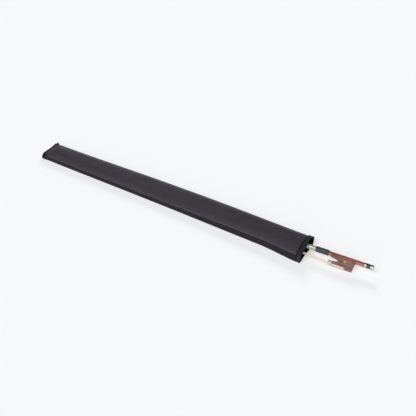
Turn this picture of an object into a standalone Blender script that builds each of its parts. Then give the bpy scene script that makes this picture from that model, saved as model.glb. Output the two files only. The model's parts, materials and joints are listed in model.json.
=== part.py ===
"""Violin bow in a soft padded sleeve: the sewn sleeve, the bow, its frog and its screw.

Metres, +Z up. The origin is on the flat underside of the sleeve, half way along it.
+X runs along the sleeve to its open mouth, -Y is the near side, +Y the far side.
The bow lies on its side in the sleeve, with its frog outside the mouth.
Each object made here is one separate physical piece. Lengths are driving dimensions.
"""
import math

import bmesh
import bpy
from mathutils import Matrix, Vector

# Fits
FIT = 0.0003                    # gap between rigid pieces that touch
CLOTH_GAP = 0.0002              # gap between sewn layers that lie on each other
RUNNING_FIT = 0.00015           # radial play of the screw, the frog and the pearl inlays
CUT_OVERRUN = 0.001             # how far a cutter runs past the face that it opens

# Sleeve: plan
SLEEVE_SPARE = 0.015            # how much longer the sleeve is than the bow
END_WIDTH = 0.061               # across the closed end
MOUTH_WIDTH = 0.064             # across the mouth
NEAR_SHIFT = 0.0010             # how far the near side lies outside half the width
NEAR_WAIST = 0.0044             # how far the near side draws in over the middle
WAIST_RUN_share = 0.60          # of the length, in which the near side draws in
NEAR_FLARE = 0.0065             # how far the near side flares out again at the mouth
FLARE_START_share = 0.93
FAR_BULGE = 0.0078              # how far the far side bows out
FAR_BULGE_SKEW = 1.25           # moves the fullest place toward the mouth
FAR_BULGE_POWER = 1.5
NEAR_CORNER_RADIUS = 0.009      # plan radii of the two closed corners
FAR_CORNER_RADIUS = 0.0065
END_SLANT = 0.0090              # the closed end's near corner lies this far short of the far one
SLANT_RUN = 0.110               # length over which the slant dies out

# Sleeve: height of the sides and of the crowned top
NEAR_SIDE_HEIGHT = 0.014
FAR_SIDE_HEIGHT = 0.0135
MOUTH_NEAR_HEIGHT = 0.0195
MOUTH_FAR_HEIGHT = 0.0186
CENTRE_HEIGHT = 0.0222          # over the bow, along most of the sleeve
MOUTH_CENTRE_HEIGHT = 0.0264
END_CROWN = 0.0022              # crown left at the closed end
CROWN_RUN = 0.026               # length in which the crown grows from the closed end
VALLEY_DEPTH = 0.0003           # shallow valley along the middle of the top
SWELL_START_share = 0.55        # where the sides start to rise toward the mouth
SWELL_POWER = 1.1
CROWN_POWER = 2.6                # how square the crown is across the sleeve
MOUTH_CROWN_POWER = 3.0
VALLEY_WIDTH_share = 0.28       # of the half width

# Sleeve: layers
COVER_THICKNESS = 0.0006        # woven nylon
PADDING_THICKNESS = 0.0010      # foam sheet, as pressed by the seams
LINING_THICKNESS = 0.0005
GUSSET_THICKNESS = 0.0016       # side strip, quilted
GUSSET_BULGE = 0.0007           # how far the side strip puffs out at half height
TAPE_THICKNESS = 0.0007         # binding tape of the closed end
TAPE_LEG = 0.0055               # how far the tape reaches in over the top
TAPE_TAIL = 0.010               # folded tail of the tape along the far side
TAPE_FOLD = 0.0016              # extra thickness of the folded tail
HEM_WIDTH = 0.0105              # turned hem round the mouth
HEM_THICKNESS = 0.0006
HEM_RISE = 0.0003               # how far the hem stands above the cover

# Bow: overall
BOW_LENGTH = 0.745              # button to tip
BOW_STICK_OUT = 0.12926         # button's end beyond the mouth
HANDLE_STRAIGHT = 0.175         # straight part of the bow, from the button's end
CAMBER_ANGLE = math.radians(3.8)     # handle against the chord of the cambered part
ROLL_BELOW_LEVEL = math.radians(18)# the hair side dips this far below level
CHORD_RISE = math.radians(-0.07)# the chord's rise toward the mouth
CHORD_YAW = 0.020               # radians; the frog's end lies nearer than the head
BOW_Y = 0.0033                  # stick axis at the start of the camber
BOW_Z = 0.0142

# Bow: stick and head
STICK_HANDLE_SIZE = 0.0086      # across the flats of the octagon
STICK_TIP_DIAMETER = 0.0053
OCTAGON_LENGTH = 0.100          # octagonal part, from the button's end
STICK_BUTT = 0.0180             # stick's end, from the button's end
HEAD_DROP = 0.0190              # stick axis to the underside of the head's wood
HEAD_LENGTH = 0.0240            # plate length, beak to heel
HEAD_PLATE_WIDTH = 0.0098
HEAD_BEAK_WIDTH = 0.0046
HEAD_SLOPE = 0.0105             # how far the ridge runs back from beak to stick
HEAD_SHOULDER_share = 0.55      # place of the head's shoulder between beak and heel
SHOULDER_WIDTH_share = 0.93
HEEL_RUN_share = 0.3            # of the half width, along the head
HEEL_WIDTH_share = 0.72
BEAK_RUN_share = 0.6            # of the beak's half width, along the head
BEAK_WIDTH_share = 0.35
RIDGE_share = 0.92              # of the stick's radius at its tip
LINER_THICKNESS = 0.0006        # black liner under the tip plate
PLATE_THICKNESS = 0.0010        # white tip plate
HEAD_MORTISE_LENGTH = 0.0070
HEAD_MORTISE_WIDTH = 0.0056
HEAD_MORTISE_DEPTH = 0.0044
HEAD_MORTISE_SETBACK = 0.0100   # from the beak

# Bow: hair
HAIR_THICKNESS = 0.0009
HAIR_WIDTH_FROG = 0.0098
HAIR_WIDTH_TIP = 0.0048
HAIR_DROP_FROG = 0.0215         # stick axis to the middle of the hair at the ferrule
HAIR_IN_FERRULE = 0.0077        # length of hair inside the ferrule
HAIR_TURN_DEPTH = 0.0030        # end of the hair turned up into the head

# Bow: winding and grip
WINDING_CLEAR = 0.0005          # between the grip and the winding
WINDING_LENGTH = 0.0600
WINDING_TURNS = 24
WINDING_THICKNESS = 0.00055
WINDING_GAP = 0.00055           # between one turn and the next
GRIP_CLEAR = 0.0052             # between the tip of the frog's tongue and the grip
GRIP_LENGTH = 0.0265
GRIP_THICKNESS = 0.0008
GRIP_RIDGE = 0.00025            # overlap ridges of the wrapped leather
GRIP_WRAPS = 5

# Frog
FROG_HEEL = 0.0338              # heel's upper end, from the button's end
FROG_BODY_LENGTH = 0.0405       # heel to the ferrule's shoulder
HEEL_SLANT = 0.0020             # the heel's lower end lies this far forward
FROG_TOP_DROP = 0.0022          # stick axis to the top of the frog's cheeks
FROG_BOTTOM_DROP = 0.0229       # stick axis to the frog's underside
FROG_TOP_WIDTH = 0.0088
FROG_BOTTOM_WIDTH = 0.0106
FROG_EDGE = 0.0007              # rounded long edges
THROAT_REACH = 0.0105           # how far the throat cuts back behind the shoulder
TONGUE_LENGTH = 0.0075          # tongue under the stick, past the shoulder
TONGUE_TIP_THICKNESS = 0.0005
SHOULDER_DROP = 0.0168          # stick axis to the top of the ferrule's shoulder
EYE_DIAMETER = 0.0060
EYE_DROP = 0.0108
EYE_FROM_HEEL = 0.0190
EYE_DEPTH = 0.0006
SLIDE_WIDTH = 0.0060
SLIDE_THICKNESS = 0.0012
SLIDE_START = 0.0165            # from the heel
KNOT_LENGTH = 0.0090            # hair mortise under the slide
KNOT_WIDTH = 0.0050
KNOT_DEPTH = 0.0026
TENON_WIDTH = 0.0056            # wooden tenon that carries the ferrule
TENON_TOP_DROP = 0.0170
TENON_THICKNESS = 0.0020
WEDGE_WIDTH = 0.0090
WEDGE_THICKNESS = 0.0016

# Ferrule
FERRULE_LENGTH = 0.0082
FERRULE_WALL = 0.0005
FERRULE_WIDTH = 0.0112
FERRULE_TOP_DROP = 0.0154
FERRULE_ARCH = 0.0036           # height of the arched upper part
FERRULE_CORNER = 0.0011

# Screw, eyelet and button
SCREW_DIAMETER = 0.0030
SCREW_LENGTH = 0.0560           # from the button's end
SCREW_TIP = 0.0010
SCREW_HEAD_INSET = 0.0030       # the shank starts inside the cap
THREAD_PITCH = 0.0008
THREAD_LENGTH = 0.0200
THREAD_DEPTH = 0.00035
EYELET_WIDTH = 0.0042
EYELET_LENGTH = 0.0050
EYELET_ABOVE = 0.0024           # over the screw's axis
EYELET_BELOW = 0.0034
EYELET_POST = 0.0030            # diameter of the post set in the frog
EYELET_POST_DEPTH = 0.0070      # below the block
EYELET_PLACE = 0.0500           # from the button's end
FROG_TRAVEL = 0.0080            # how far the screw draws the frog back
BUTTON_DIAMETER = 0.0094
BUTTON_CAP_LENGTH = 0.0066
BUTTON_COLLAR_LENGTH = 0.0070
BUTTON_RING_LENGTH = 0.0036
BUTTON_DOME = 0.0008
BUTTON_EDGE = 0.0005

# Mesh density
ROUND_SIDES = 16
BUTTON_SIDES = 32
TOP_STEPS = 14
WINDING_STEPS = 24              # sections in one turn

SLEEVE_LENGTH = BOW_LENGTH + SLEEVE_SPARE
HALF = SLEEVE_LENGTH / 2
WALL = COVER_THICKNESS + PADDING_THICKNESS + LINING_THICKNESS + 2 * CLOTH_GAP
HEM_START = HALF - HEM_WIDTH
GRIP_START = FROG_HEEL + FROG_BODY_LENGTH + TONGUE_LENGTH + GRIP_CLEAR
WINDING_START = GRIP_START + GRIP_LENGTH + WINDING_CLEAR


def mix(a, b, t):
    """Return the value a share t of the way from a to b."""
    return a + (b - a) * t


def smooth(t):
    """Return a share eased at both ends."""
    t = min(1.0, max(0.0, t))
    return t * t * (3 - 2 * t)


# Scene helpers

def clear_scene():
    """Remove every object that the scene holds."""
    for item in list(bpy.data.objects):
        bpy.data.objects.remove(item, do_unlink=True)


def make_material(name, colour, roughness, metallic=0.0):
    """Return a Principled material; the colour is linear RGB."""
    mat = bpy.data.materials.new(name)
    mat.use_nodes = True
    shader = mat.node_tree.nodes["Principled BSDF"]
    shader.inputs["Base Color"].default_value = (*colour, 1.0)
    shader.inputs["Roughness"].default_value = roughness
    shader.inputs["Metallic"].default_value = metallic
    mat.diffuse_color = (*colour, 1.0)
    return mat


def add_object(name, bm, mat, parent=None, sharp_angle=math.radians(35)):
    """Turn a bmesh into a shaded object with its own material."""
    bmesh.ops.recalc_face_normals(bm, faces=bm.faces)
    mesh = bpy.data.meshes.new(name)
    bm.to_mesh(mesh)
    bm.free()
    mesh.shade_smooth()
    mesh.set_sharp_from_angle(angle=sharp_angle)
    item = bpy.data.objects.new(name, mesh)
    bpy.context.scene.collection.objects.link(item)
    if mat is not None:
        mesh.materials.append(mat)
    item.parent = parent
    return item


def add_empty(name, matrix, parent=None):
    """Add a frame that pieces are parented to."""
    item = bpy.data.objects.new(name, None)
    bpy.context.scene.collection.objects.link(item)
    item.parent = parent
    item.matrix_local = matrix
    return item


def loft(rings, closed_path=False):
    """Return a bmesh skinned over rings of equal count, with both ends capped."""
    bm = bmesh.new()
    loops = [[bm.verts.new(point) for point in ring] for ring in rings]
    count = len(loops[0])
    pairs = list(zip(loops[:-1], loops[1:]))
    if closed_path:
        pairs.append((loops[-1], loops[0]))
    for first, second in pairs:
        for k in range(count):
            nxt = (k + 1) % count
            bm.faces.new((first[k], first[nxt], second[nxt], second[k]))
    if not closed_path:
        bm.faces.new(loops[0])
        bm.faces.new(list(reversed(loops[-1])))
    return bm


def box(low, high):
    """Return a bmesh box between two corners."""
    corners = [(x, y, z) for x in (low[0], high[0]) for y in (low[1], high[1]) for z in (low[2], high[2])]
    bm = bmesh.new()
    verts = [bm.verts.new(corner) for corner in corners]
    for face in ((0, 1, 3, 2), (4, 6, 7, 5), (0, 4, 5, 1), (2, 3, 7, 6), (0, 2, 6, 4), (1, 5, 7, 3)):
        bm.faces.new([verts[k] for k in face])
    return bm


def circle(x, radius):
    """Return a ring of points about X."""
    angles = (2 * math.pi * k / ROUND_SIDES for k in range(ROUND_SIDES))
    return [(x, radius * math.cos(a), radius * math.sin(a)) for a in angles]


def turned(profile, sides=ROUND_SIDES):
    """Return a bmesh turned about X; the profile is (x, radius) from one end to the other."""
    rings = []
    for x, radius in profile:
        angles = (2 * math.pi * (k + 0.5) / sides for k in range(sides))
        rings.append([(x, radius * math.cos(a), radius * math.sin(a)) for a in angles])
    return loft(rings)


def turned_ring(section, sides=ROUND_SIDES):
    """Return a bmesh of a closed (x, radius) section turned once about X."""
    rings = []
    for k in range(sides):
        a = 2 * math.pi * (k + 0.5) / sides
        rings.append([(x, r * math.cos(a), r * math.sin(a)) for x, r in section])
    return loft(rings, closed_path=True)


def cut(item, bm, operation="DIFFERENCE", parent=None):
    """Cut or join a bmesh with an object, exactly, and apply it."""
    tool = add_object(item.name + "_tool", bm, None, parent or item.parent)
    tool.hide_render = True
    tool.display_type = "WIRE"
    bpy.context.view_layer.update()
    step = item.modifiers.new(operation.title(), "BOOLEAN")
    step.operation = operation
    step.solver = "EXACT"
    step.object = tool
    graph = bpy.context.evaluated_depsgraph_get()
    mesh = bpy.data.meshes.new_from_object(item.evaluated_get(graph))
    item.modifiers.clear()
    old = item.data
    item.data = mesh
    bpy.data.meshes.remove(old)
    bpy.data.objects.remove(tool, do_unlink=True)
    mesh.shade_smooth()
    mesh.set_sharp_from_angle(angle=math.radians(35))
    return item


# Sleeve shape

def share_along(x):
    """Return how far along the sleeve x is, 0 at the closed end."""
    return (x + HALF) / SLEEVE_LENGTH


def corner_radius(side):
    """Return the plan radius of the near (-1) or far (+1) closed corner."""
    return NEAR_CORNER_RADIUS if side < 0 else FAR_CORNER_RADIUS


def corner_inset(x, side, inset):
    """Return how much a rounded closed corner takes off a side at x."""
    radius = corner_radius(side) - inset
    reach = radius - (x + HALF - inset)
    if reach <= 0:
        return 0.0
    return radius - math.sqrt(max(0.0, radius * radius - reach * reach))


def side_y(x, side, inset=0.0, rounded=True):
    """Return the y of the near (side -1) or far (side +1) outline at x."""
    s = share_along(x)
    half = mix(END_WIDTH, MOUTH_WIDTH, s) / 2
    if side < 0:
        half += NEAR_SHIFT - NEAR_WAIST * smooth(s / WAIST_RUN_share)
        half += NEAR_FLARE * smooth((s - FLARE_START_share) / (1 - FLARE_START_share))
    else:
        arc = math.sin(math.pi * min(1.0, max(0.0, s)) ** FAR_BULGE_SKEW)
        half += FAR_BULGE * max(0.0, arc) ** FAR_BULGE_POWER
    corner = corner_inset(x, side, inset) if rounded else 0.0
    return side * (half - inset - corner)


def slanted(bm):
    """Shear a sleeve piece's closed end, most at the near side; return the bmesh."""
    for vert in bm.verts:
        near_share = (END_WIDTH / 2 - vert.co.y) / END_WIDTH
        fade = 1 - smooth((vert.co.x + HALF) / SLANT_RUN)
        vert.co.x += END_SLANT * near_share * fade
    return bm


def swell(x):
    """Return the share by which the sides have risen toward the mouth."""
    s = share_along(x)
    return max(0.0, (s - SWELL_START_share) / (1 - SWELL_START_share)) ** SWELL_POWER


def side_height(x, side):
    """Return the height of the near or far edge of the top at x."""
    if side < 0:
        return mix(NEAR_SIDE_HEIGHT, MOUTH_NEAR_HEIGHT, swell(x))
    return mix(FAR_SIDE_HEIGHT, MOUTH_FAR_HEIGHT, swell(x))


def top_z(x, y):
    """Return the height of the sleeve's crowned outer top."""
    near, far = side_y(x, -1, rounded=False), side_y(x, 1, rounded=False)
    t = min(1.0, max(0.0, (y - near) / (far - near)))
    u = 2 * t - 1
    edge = mix(side_height(x, -1), side_height(x, 1), t)
    centre = mix(CENTRE_HEIGHT, MOUTH_CENTRE_HEIGHT, swell(x))
    middle = (side_height(x, -1) + side_height(x, 1)) / 2
    crown = mix(END_CROWN, centre - middle, smooth((x + HALF) / CROWN_RUN))
    valley = VALLEY_DEPTH * smooth(share_along(x)) * math.exp(-((u / VALLEY_WIDTH_share) ** 2))
    power = mix(CROWN_POWER, MOUTH_CROWN_POWER, swell(x))
    return edge + crown * (1 - abs(u) ** power) - valley


def sleeve_stations(start, end):
    """Return x stations: close together at the round corners and the mouth, wide between."""
    corner = [NEAR_CORNER_RADIUS * (1 - math.cos(math.pi / 2 * k / 5)) for k in range(6)]
    stations = [-HALF + d for d in corner] + [-HALF + CROWN_RUN * t for t in (0.45, 0.6, 0.8, 1.0, 1.6)]
    first = stations[-1]
    flare = mix(-HALF, HALF, FLARE_START_share)
    wide = 11
    stations += [mix(first, flare, k / wide) for k in range(1, wide + 1)]
    stations += [mix(flare, HEM_START, k / 3) for k in range(1, 4)]
    stations = [x for x in stations if start + CLOTH_GAP < x < end - CLOTH_GAP]
    return [start] + stations + [end]


def layer(start, end, inset, lower, upper, steps=TOP_STEPS):
    """Return a bmesh sheet of the sleeve between two heights given as functions of x, y."""
    rings = []
    for x in sleeve_stations(start, end):
        near, far = side_y(x, -1, inset), side_y(x, 1, inset)
        ys = [mix(near, far, k / steps) for k in range(steps + 1)]
        ring = [(x, y, upper(x, y)) for y in ys] + [(x, y, lower(x, y)) for y in reversed(ys)]
        rings.append(ring)
    return slanted(sheet_from_rings(rings, steps))


def sheet_from_rings(rings, steps):
    """Skin rings of a sheet and close both ends with strips of quads.

    Both faces of every sheet are split along the same diagonal, so that layers nest.
    """
    bm = bmesh.new()
    loops = [[bm.verts.new(point) for point in ring] for ring in rings]
    count = len(loops[0])
    for first, second in zip(loops[:-1], loops[1:]):
        for k in range(count):
            nxt = (k + 1) % count
            if k < steps:
                bm.faces.new((first[k], first[nxt], second[nxt]))
                bm.faces.new((first[k], second[nxt], second[k]))
            elif steps < k < count - 1:
                bm.faces.new((first[k], first[nxt], second[k]))
                bm.faces.new((first[nxt], second[nxt], second[k]))
            else:
                bm.faces.new((first[k], first[nxt], second[nxt], second[k]))
    for loop in (loops[0], loops[-1]):
        for k in range(steps):
            bm.faces.new((loop[k], loop[k + 1], loop[count - 2 - k], loop[count - 1 - k]))
    return bm


def outline_path(inset=0.0, mouth_end=HALF):
    """Return the sleeve's plan outline as (x, y, nx, ny), near mouth to far mouth.

    The normal points out. The path goes down the near side, round the closed end
    and back along the far side.
    """
    near_stations = sleeve_stations(-HALF + NEAR_CORNER_RADIUS, mouth_end)
    near = [side_point(x, -1, inset) for x in reversed(near_stations)]
    arcs = []
    for side in (-1, 1):
        full = corner_radius(side)
        half = abs(side_y(-HALF + full, side, rounded=False))
        centre = (-HALF + full, side * (half - full))
        radius = full - inset
        arc = []
        for k in range(1, 6):
            a = math.pi / 2 * k / 5
            nx, ny = -math.sin(a), side * math.cos(a)
            arc.append((centre[0] + radius * nx, centre[1] + radius * ny, nx, ny))
        arcs.append(arc)
    far = [side_point(x, 1, inset) for x in sleeve_stations(-HALF + FAR_CORNER_RADIUS, mouth_end)]
    return near, arcs[0], list(reversed(arcs[1])), far


def side_point(x, side, inset):
    """Return a point of a long side with its outward normal."""
    step = FAR_CORNER_RADIUS / 2
    slope = (side_y(x + step, side, rounded=False) - side_y(x, side, rounded=False)) / step
    length = math.hypot(1, slope)
    nx, ny = -side * slope * side / length, side / length
    y = side_y(x, side, rounded=False)
    return (x - nx * inset, y - ny * inset, nx, ny)


def gusset(path):
    """Return a bmesh of the upright side strip along a plan path of (x, y, nx, ny)."""
    rings = []
    levels = (0.0, 0.2, 0.5, 0.8, 1.0)
    for x, y, nx, ny in path:
        low = COVER_THICKNESS + CLOTH_GAP
        high = top_z(x, y) - COVER_THICKNESS - CLOTH_GAP
        fade = smooth((HEM_START - x) / (2 * HEM_WIDTH))
        ring = []
        for t in levels:
            puff = GUSSET_BULGE * math.sin(math.pi * t) * fade
            ring.append((x + nx * puff, y + ny * puff, mix(low, high, t)))
        for t in (1.0, 0.5, 0.0):
            ring.append((x - nx * GUSSET_THICKNESS, y - ny * GUSSET_THICKNESS, mix(low, high, t)))
        rings.append(ring)
    return loft(rings)


def build_sleeve_layers(mats):
    """Make the outer covers, the paddings and the linings."""
    cover_end = HEM_START - FIT
    inner_end = HALF - HEM_THICKNESS - FIT
    inset = GUSSET_THICKNESS + CLOTH_GAP
    inner_start = -HALF + inset

    def below(depth):
        return lambda x, y: top_z(x, y) - depth

    def level(height):
        return lambda x, y: height

    pad_top = COVER_THICKNESS + CLOTH_GAP
    pad_bottom = pad_top + PADDING_THICKNESS
    line_top = pad_bottom + CLOTH_GAP
    add_object("top_cover", layer(-HALF, cover_end, 0.0, below(COVER_THICKNESS), below(0.0)), mats["nylon"])
    add_object("top_padding", layer(inner_start, inner_end, inset, below(pad_bottom), below(pad_top)), mats["foam"])
    add_object("top_lining", layer(inner_start, inner_end, inset, below(WALL), below(line_top)), mats["lining"])
    add_object("bottom_cover", layer(-HALF, cover_end, 0.0, level(0.0), level(COVER_THICKNESS), 2), mats["nylon"])
    add_object("bottom_padding", layer(inner_start, inner_end, inset, level(pad_top), level(pad_bottom), 2), mats["foam"])
    add_object("bottom_lining", layer(inner_start, inner_end, inset, level(line_top), level(WALL), 2), mats["lining"])


def build_gussets(mats):
    """Make the near and far side strips and the strip across the closed end."""
    mouth_end = HALF - HEM_THICKNESS - FIT
    near, near_arc, far_arc, far = outline_path(mouth_end=mouth_end)
    add_object("near_gusset", slanted(gusset(near + near_arc)), mats["gusset"])
    add_object("far_gusset", slanted(gusset(far_arc + far)), mats["gusset"])
    x = -HALF
    half_near = near_arc[-1][1] + CLOTH_GAP
    half_far = far_arc[0][1] - CLOTH_GAP
    ys = [mix(half_near, half_far, k / 6) for k in range(7)]
    add_object("end_gusset", slanted(gusset([(x, y, -1.0, 0.0) for y in ys])), mats["gusset"])


def build_end_binding(mats):
    """Make the tape that binds the closed end, with its folded tail on the far side."""
    _, near_arc, far_arc, far = outline_path()
    start = outline_path()[0][-1]
    middle = [(-HALF, mix(near_arc[-1][1], far_arc[0][1], k / 4), -1.0, 0.0) for k in range(1, 4)]
    tail = [side_point(-HALF + FAR_CORNER_RADIUS + TAPE_TAIL * t, 1, 0.0) for t in (0.1, 0.4, 1.0)]
    path = [start] + near_arc + middle + far_arc + tail
    puffed = GUSSET_BULGE + CLOTH_GAP
    rings = []
    for index, (x, y, nx, ny) in enumerate(path):
        folded = TAPE_FOLD if index >= len(path) - 2 else 0.0
        outer = puffed + TAPE_THICKNESS + folded
        rim = top_z(x, y) + CLOTH_GAP
        in_x, in_y = x - nx * TAPE_LEG, y - ny * TAPE_LEG
        inner = top_z(in_x, in_y) + CLOTH_GAP
        ring = [
            (x + nx * puffed, y + ny * puffed, FIT),
            (x + nx * outer, y + ny * outer, FIT),
            (x + nx * outer, y + ny * outer, rim),
            (x + nx * puffed, y + ny * puffed, rim + TAPE_THICKNESS),
            (in_x, in_y, inner + TAPE_THICKNESS),
            (in_x, in_y, inner),
            (x + nx * puffed, y + ny * puffed, rim),
        ]
        rings.append(ring)
    add_object("end_binding", slanted(loft(rings)), mats["tape"])


def hem_section(x0, x1, outer, inner, thickness):
    """Return the (x, z) section of a turned hem that wraps the edge of the wall.

    outer and inner are the heights of its outside face and of its inside face.
    """
    out = 1 if outer > inner else -1
    fold = thickness / 2
    return [
        (x0, outer), (x1 - fold, outer), (x1, outer - out * fold), (x1, inner + out * fold),
        (x1 - fold, inner), (x0, inner), (x0, inner + out * thickness),
        (x1 - thickness, inner + out * thickness), (x1 - thickness, outer - out * thickness),
        (x0, outer - out * thickness),
    ]


def hem_ring(share_across, inset, upper):
    """Return the upper or lower hem's section at a share of the way across the mouth."""
    height = WALL + CLOTH_GAP + HEM_THICKNESS
    if upper:
        section = hem_section(HEM_START, HALF, HEM_RISE, -height, HEM_THICKNESS)
    else:
        section = hem_section(HEM_START, HALF, 0.0, height, HEM_THICKNESS)
    ring = []
    for x, z in section:
        y = mix(side_y(x, -1, inset), side_y(x, 1, inset), share_across)
        ring.append((x, y, z + (top_z(x, y) if upper else 0.0)))
    return ring


def build_hems(mats):
    """Make the four sides of the turned hem round the mouth."""
    inset = GUSSET_THICKNESS + CLOTH_GAP
    upper, lower = [], []
    for k in range(TOP_STEPS + 1):
        upper.append(hem_ring(k / TOP_STEPS, inset, upper=True))
    for k in range(3):
        lower.append(hem_ring(k / 2, inset, upper=False))
    add_object("upper_hem", loft(upper), mats["hem"])
    add_object("lower_hem", loft(lower), mats["hem"])
    for name, side in (("near_hem", -1), ("far_hem", 1)):
        rings = []
        for t in (0.0, 1.0):
            ring = []
            for x, depth in ((HEM_START, HEM_THICKNESS + CLOTH_GAP), (HALF - HEM_THICKNESS / 2, HEM_THICKNESS + CLOTH_GAP),
                             (HALF, HEM_THICKNESS / 2), (HALF, -GUSSET_THICKNESS),
                             (HALF - HEM_THICKNESS, -GUSSET_THICKNESS), (HALF - HEM_THICKNESS, CLOTH_GAP),
                             (HEM_START, CLOTH_GAP)):
                edge = side_y(x, side)
                z = t * (top_z(x, edge) + HEM_RISE)
                ring.append((x, edge + side * depth, z))
            rings.append(ring)
        add_object(name, loft(rings), mats["hem"])


# Bow frames

def bow_frames():
    """Return the chord frame and the handle frame as empties.

    Chord frame: X toward the button, Z away from the hair, origin on the stick's axis
    where the straight handle meets the camber. Handle frame: the same point, with X
    along the straight handle.
    """
    place = Matrix.Translation((HALF + BOW_STICK_OUT - HANDLE_STRAIGHT, BOW_Y, BOW_Z))
    tilt = Matrix.Rotation(-CHORD_YAW, 4, "Z") @ Matrix.Rotation(-CHORD_RISE, 4, "Y")
    roll = Matrix.Rotation(-(math.pi / 2 - ROLL_BELOW_LEVEL), 4, "X")
    chord = add_empty("bow_chord_frame", place @ tilt @ roll)
    handle = add_empty("bow_handle_frame", Matrix.Rotation(-CAMBER_ANGLE, 4, "Y"), chord)
    return chord, handle


def from_button(distance):
    """Return the handle frame's x of a place given by its distance from the button's end."""
    return HANDLE_STRAIGHT - distance


CHORD_LENGTH = BOW_LENGTH - HANDLE_STRAIGHT - HEAD_SLOPE
CAMBER_SAG = math.tan(CAMBER_ANGLE) * CHORD_LENGTH / 4


def stick_radius(distance):
    """Return the stick's half thickness at a distance from the button's end."""
    start = WINDING_START + WINDING_LENGTH
    t = max(0.0, (distance - start) / (BOW_LENGTH - start))
    return mix(STICK_HANDLE_SIZE, STICK_TIP_DIAMETER, t ** 0.85) / 2


def stick_ring(centre, tangent, radius, octagon):
    """Return 16 points round the stick; octagon 1 gives flats, 0 a round."""
    up = Vector((0, 0, 1))
    side = Vector((0, 1, 0))
    normal = side.cross(tangent).normalized()
    if normal.dot(up) < 0:
        normal = -normal
    ring = []
    for k in range(ROUND_SIDES):
        a = 2 * math.pi * k / ROUND_SIDES
        corner = 1 / math.cos(math.pi / 8) if k % 2 else 1.0
        r = radius * mix(1.0, corner, octagon)
        ring.append(centre + side * (r * math.cos(a)) + normal * (r * math.sin(a)))
    return ring


def handle_to_chord(point):
    """Return a handle-frame point in the chord frame."""
    return Matrix.Rotation(-CAMBER_ANGLE, 3, "Y") @ Vector(point)


def camber_point(t):
    """Return a point of the stick's axis, t from 0 at the handle to 1 at the head."""
    return Vector((-CHORD_LENGTH * t, 0, -4 * CAMBER_SAG * t * (1 - t)))


def build_stick(mats, chord, handle):
    """Make the octagonal to round cambered stick with its head, bore and mortises."""
    rings = []
    along_handle = Vector((1, 0, 0))
    turn = Matrix.Rotation(-CAMBER_ANGLE, 3, "Y")
    round_start = OCTAGON_LENGTH + STICK_HANDLE_SIZE
    for distance, octagon in ((STICK_BUTT, 1), (OCTAGON_LENGTH, 1), (round_start, 0), (HANDLE_STRAIGHT, 0)):
        centre = turn @ Vector((from_button(distance), 0, 0))
        rings.append(stick_ring(centre, turn @ along_handle, stick_radius(distance), octagon))
    steps = 14
    for k in range(1, steps + 1):
        t = k / steps
        slope = -4 * CAMBER_SAG * (1 - 2 * t) / -CHORD_LENGTH
        tangent = Vector((1, 0, slope)).normalized()
        distance = HANDLE_STRAIGHT + CHORD_LENGTH * t
        rings.append(stick_ring(camber_point(t), tangent, stick_radius(distance), 0))
    stick = add_object("stick", loft(rings), mats["brazilwood"], chord)
    cut(stick, head_block(), "UNION")
    cut(stick, head_mortise(), "DIFFERENCE")
    bore = SCREW_DIAMETER / 2 + RUNNING_FIT
    bore_end = SCREW_LENGTH + SCREW_TIP
    cut(stick, turned([(from_button(bore_end), bore), (from_button(STICK_BUTT) + CUT_OVERRUN, bore)]),
        "DIFFERENCE", handle)
    back = EYELET_PLACE - EYELET_LENGTH / 2 - FROG_TRAVEL - FIT
    front = EYELET_PLACE + EYELET_LENGTH / 2 + FIT
    slot = box((from_button(front), -EYELET_WIDTH / 2 - FIT, -STICK_HANDLE_SIZE),
               (from_button(back), EYELET_WIDTH / 2 + FIT, EYELET_ABOVE + FIT))
    cut(stick, slot, "DIFFERENCE", handle)


def head_x(share_from_beak):
    """Return the chord frame's x at a share of the head's length behind the beak."""
    beak = -(BOW_LENGTH - HANDLE_STRAIGHT)
    return beak + HEAD_LENGTH * share_from_beak


def head_outline(x0, x1, half, nose, z):
    """Return the head's outline from beak x0 to heel x1 as points at height z."""
    side = [
        (x0, nose * BEAK_WIDTH_share), (x0 + nose * BEAK_RUN_share, nose),
        (mix(x0, x1, HEAD_SHOULDER_share), half * SHOULDER_WIDTH_share),
        (x1 - half * HEEL_RUN_share, half), (x1, half * HEEL_WIDTH_share),
    ]
    return [(x, -y, z) for x, y in side] + [(x, y, z) for x, y in reversed(side)]


def head_block():
    """Return the head: a lofted hatchet shape, narrow at the stick and wide at the plate."""
    tip_radius = STICK_TIP_DIAMETER / 2
    beak = head_x(0)
    rings = []
    # depth share, front set-back share of HEAD_SLOPE, rear end share of HEAD_LENGTH, width share
    depth_shares = (0.0, 0.10, 0.26, 0.45, 0.66, 0.86, 1.0)
    front_shares = (1.0, 0.80, 0.62, 0.46, 0.27, 0.09, 0.0)
    rear_shares = (0.78, 0.80, 0.72, 0.70, 0.77, 0.90, 1.0)
    width_shares = (0.40, 0.54, 0.57, 0.64, 0.78, 0.92, 1.0)
    top = tip_radius * RIDGE_share
    for depth, front, rear, width in zip(depth_shares, front_shares, rear_shares, width_shares):
        z = mix(top, -HEAD_DROP, depth)
        x0 = beak + HEAD_SLOPE * front
        x1 = head_x(rear)
        half = HEAD_PLATE_WIDTH / 2 * width
        nose = HEAD_BEAK_WIDTH / 2 * width
        rings.append(head_outline(x0, x1, half, nose, z))
    return loft(rings)


def plate_outline(z):
    """Return the outline of the head's underside as points at height z."""
    return head_outline(head_x(0), head_x(1), HEAD_PLATE_WIDTH / 2, HEAD_BEAK_WIDTH / 2, z)


def mortise_span():
    """Return the chord frame's x range of the head's hair mortise."""
    x0 = head_x(0) + HEAD_MORTISE_SETBACK
    return x0, x0 + HEAD_MORTISE_LENGTH


def head_mortise():
    """Return the cutter of the pocket that holds the hair and its plug in the head."""
    x0, x1 = mortise_span()
    half = HEAD_MORTISE_WIDTH / 2
    return box((x0, -half, -HEAD_DROP - CUT_OVERRUN), (x1, half, -HEAD_DROP + HEAD_MORTISE_DEPTH))


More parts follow.
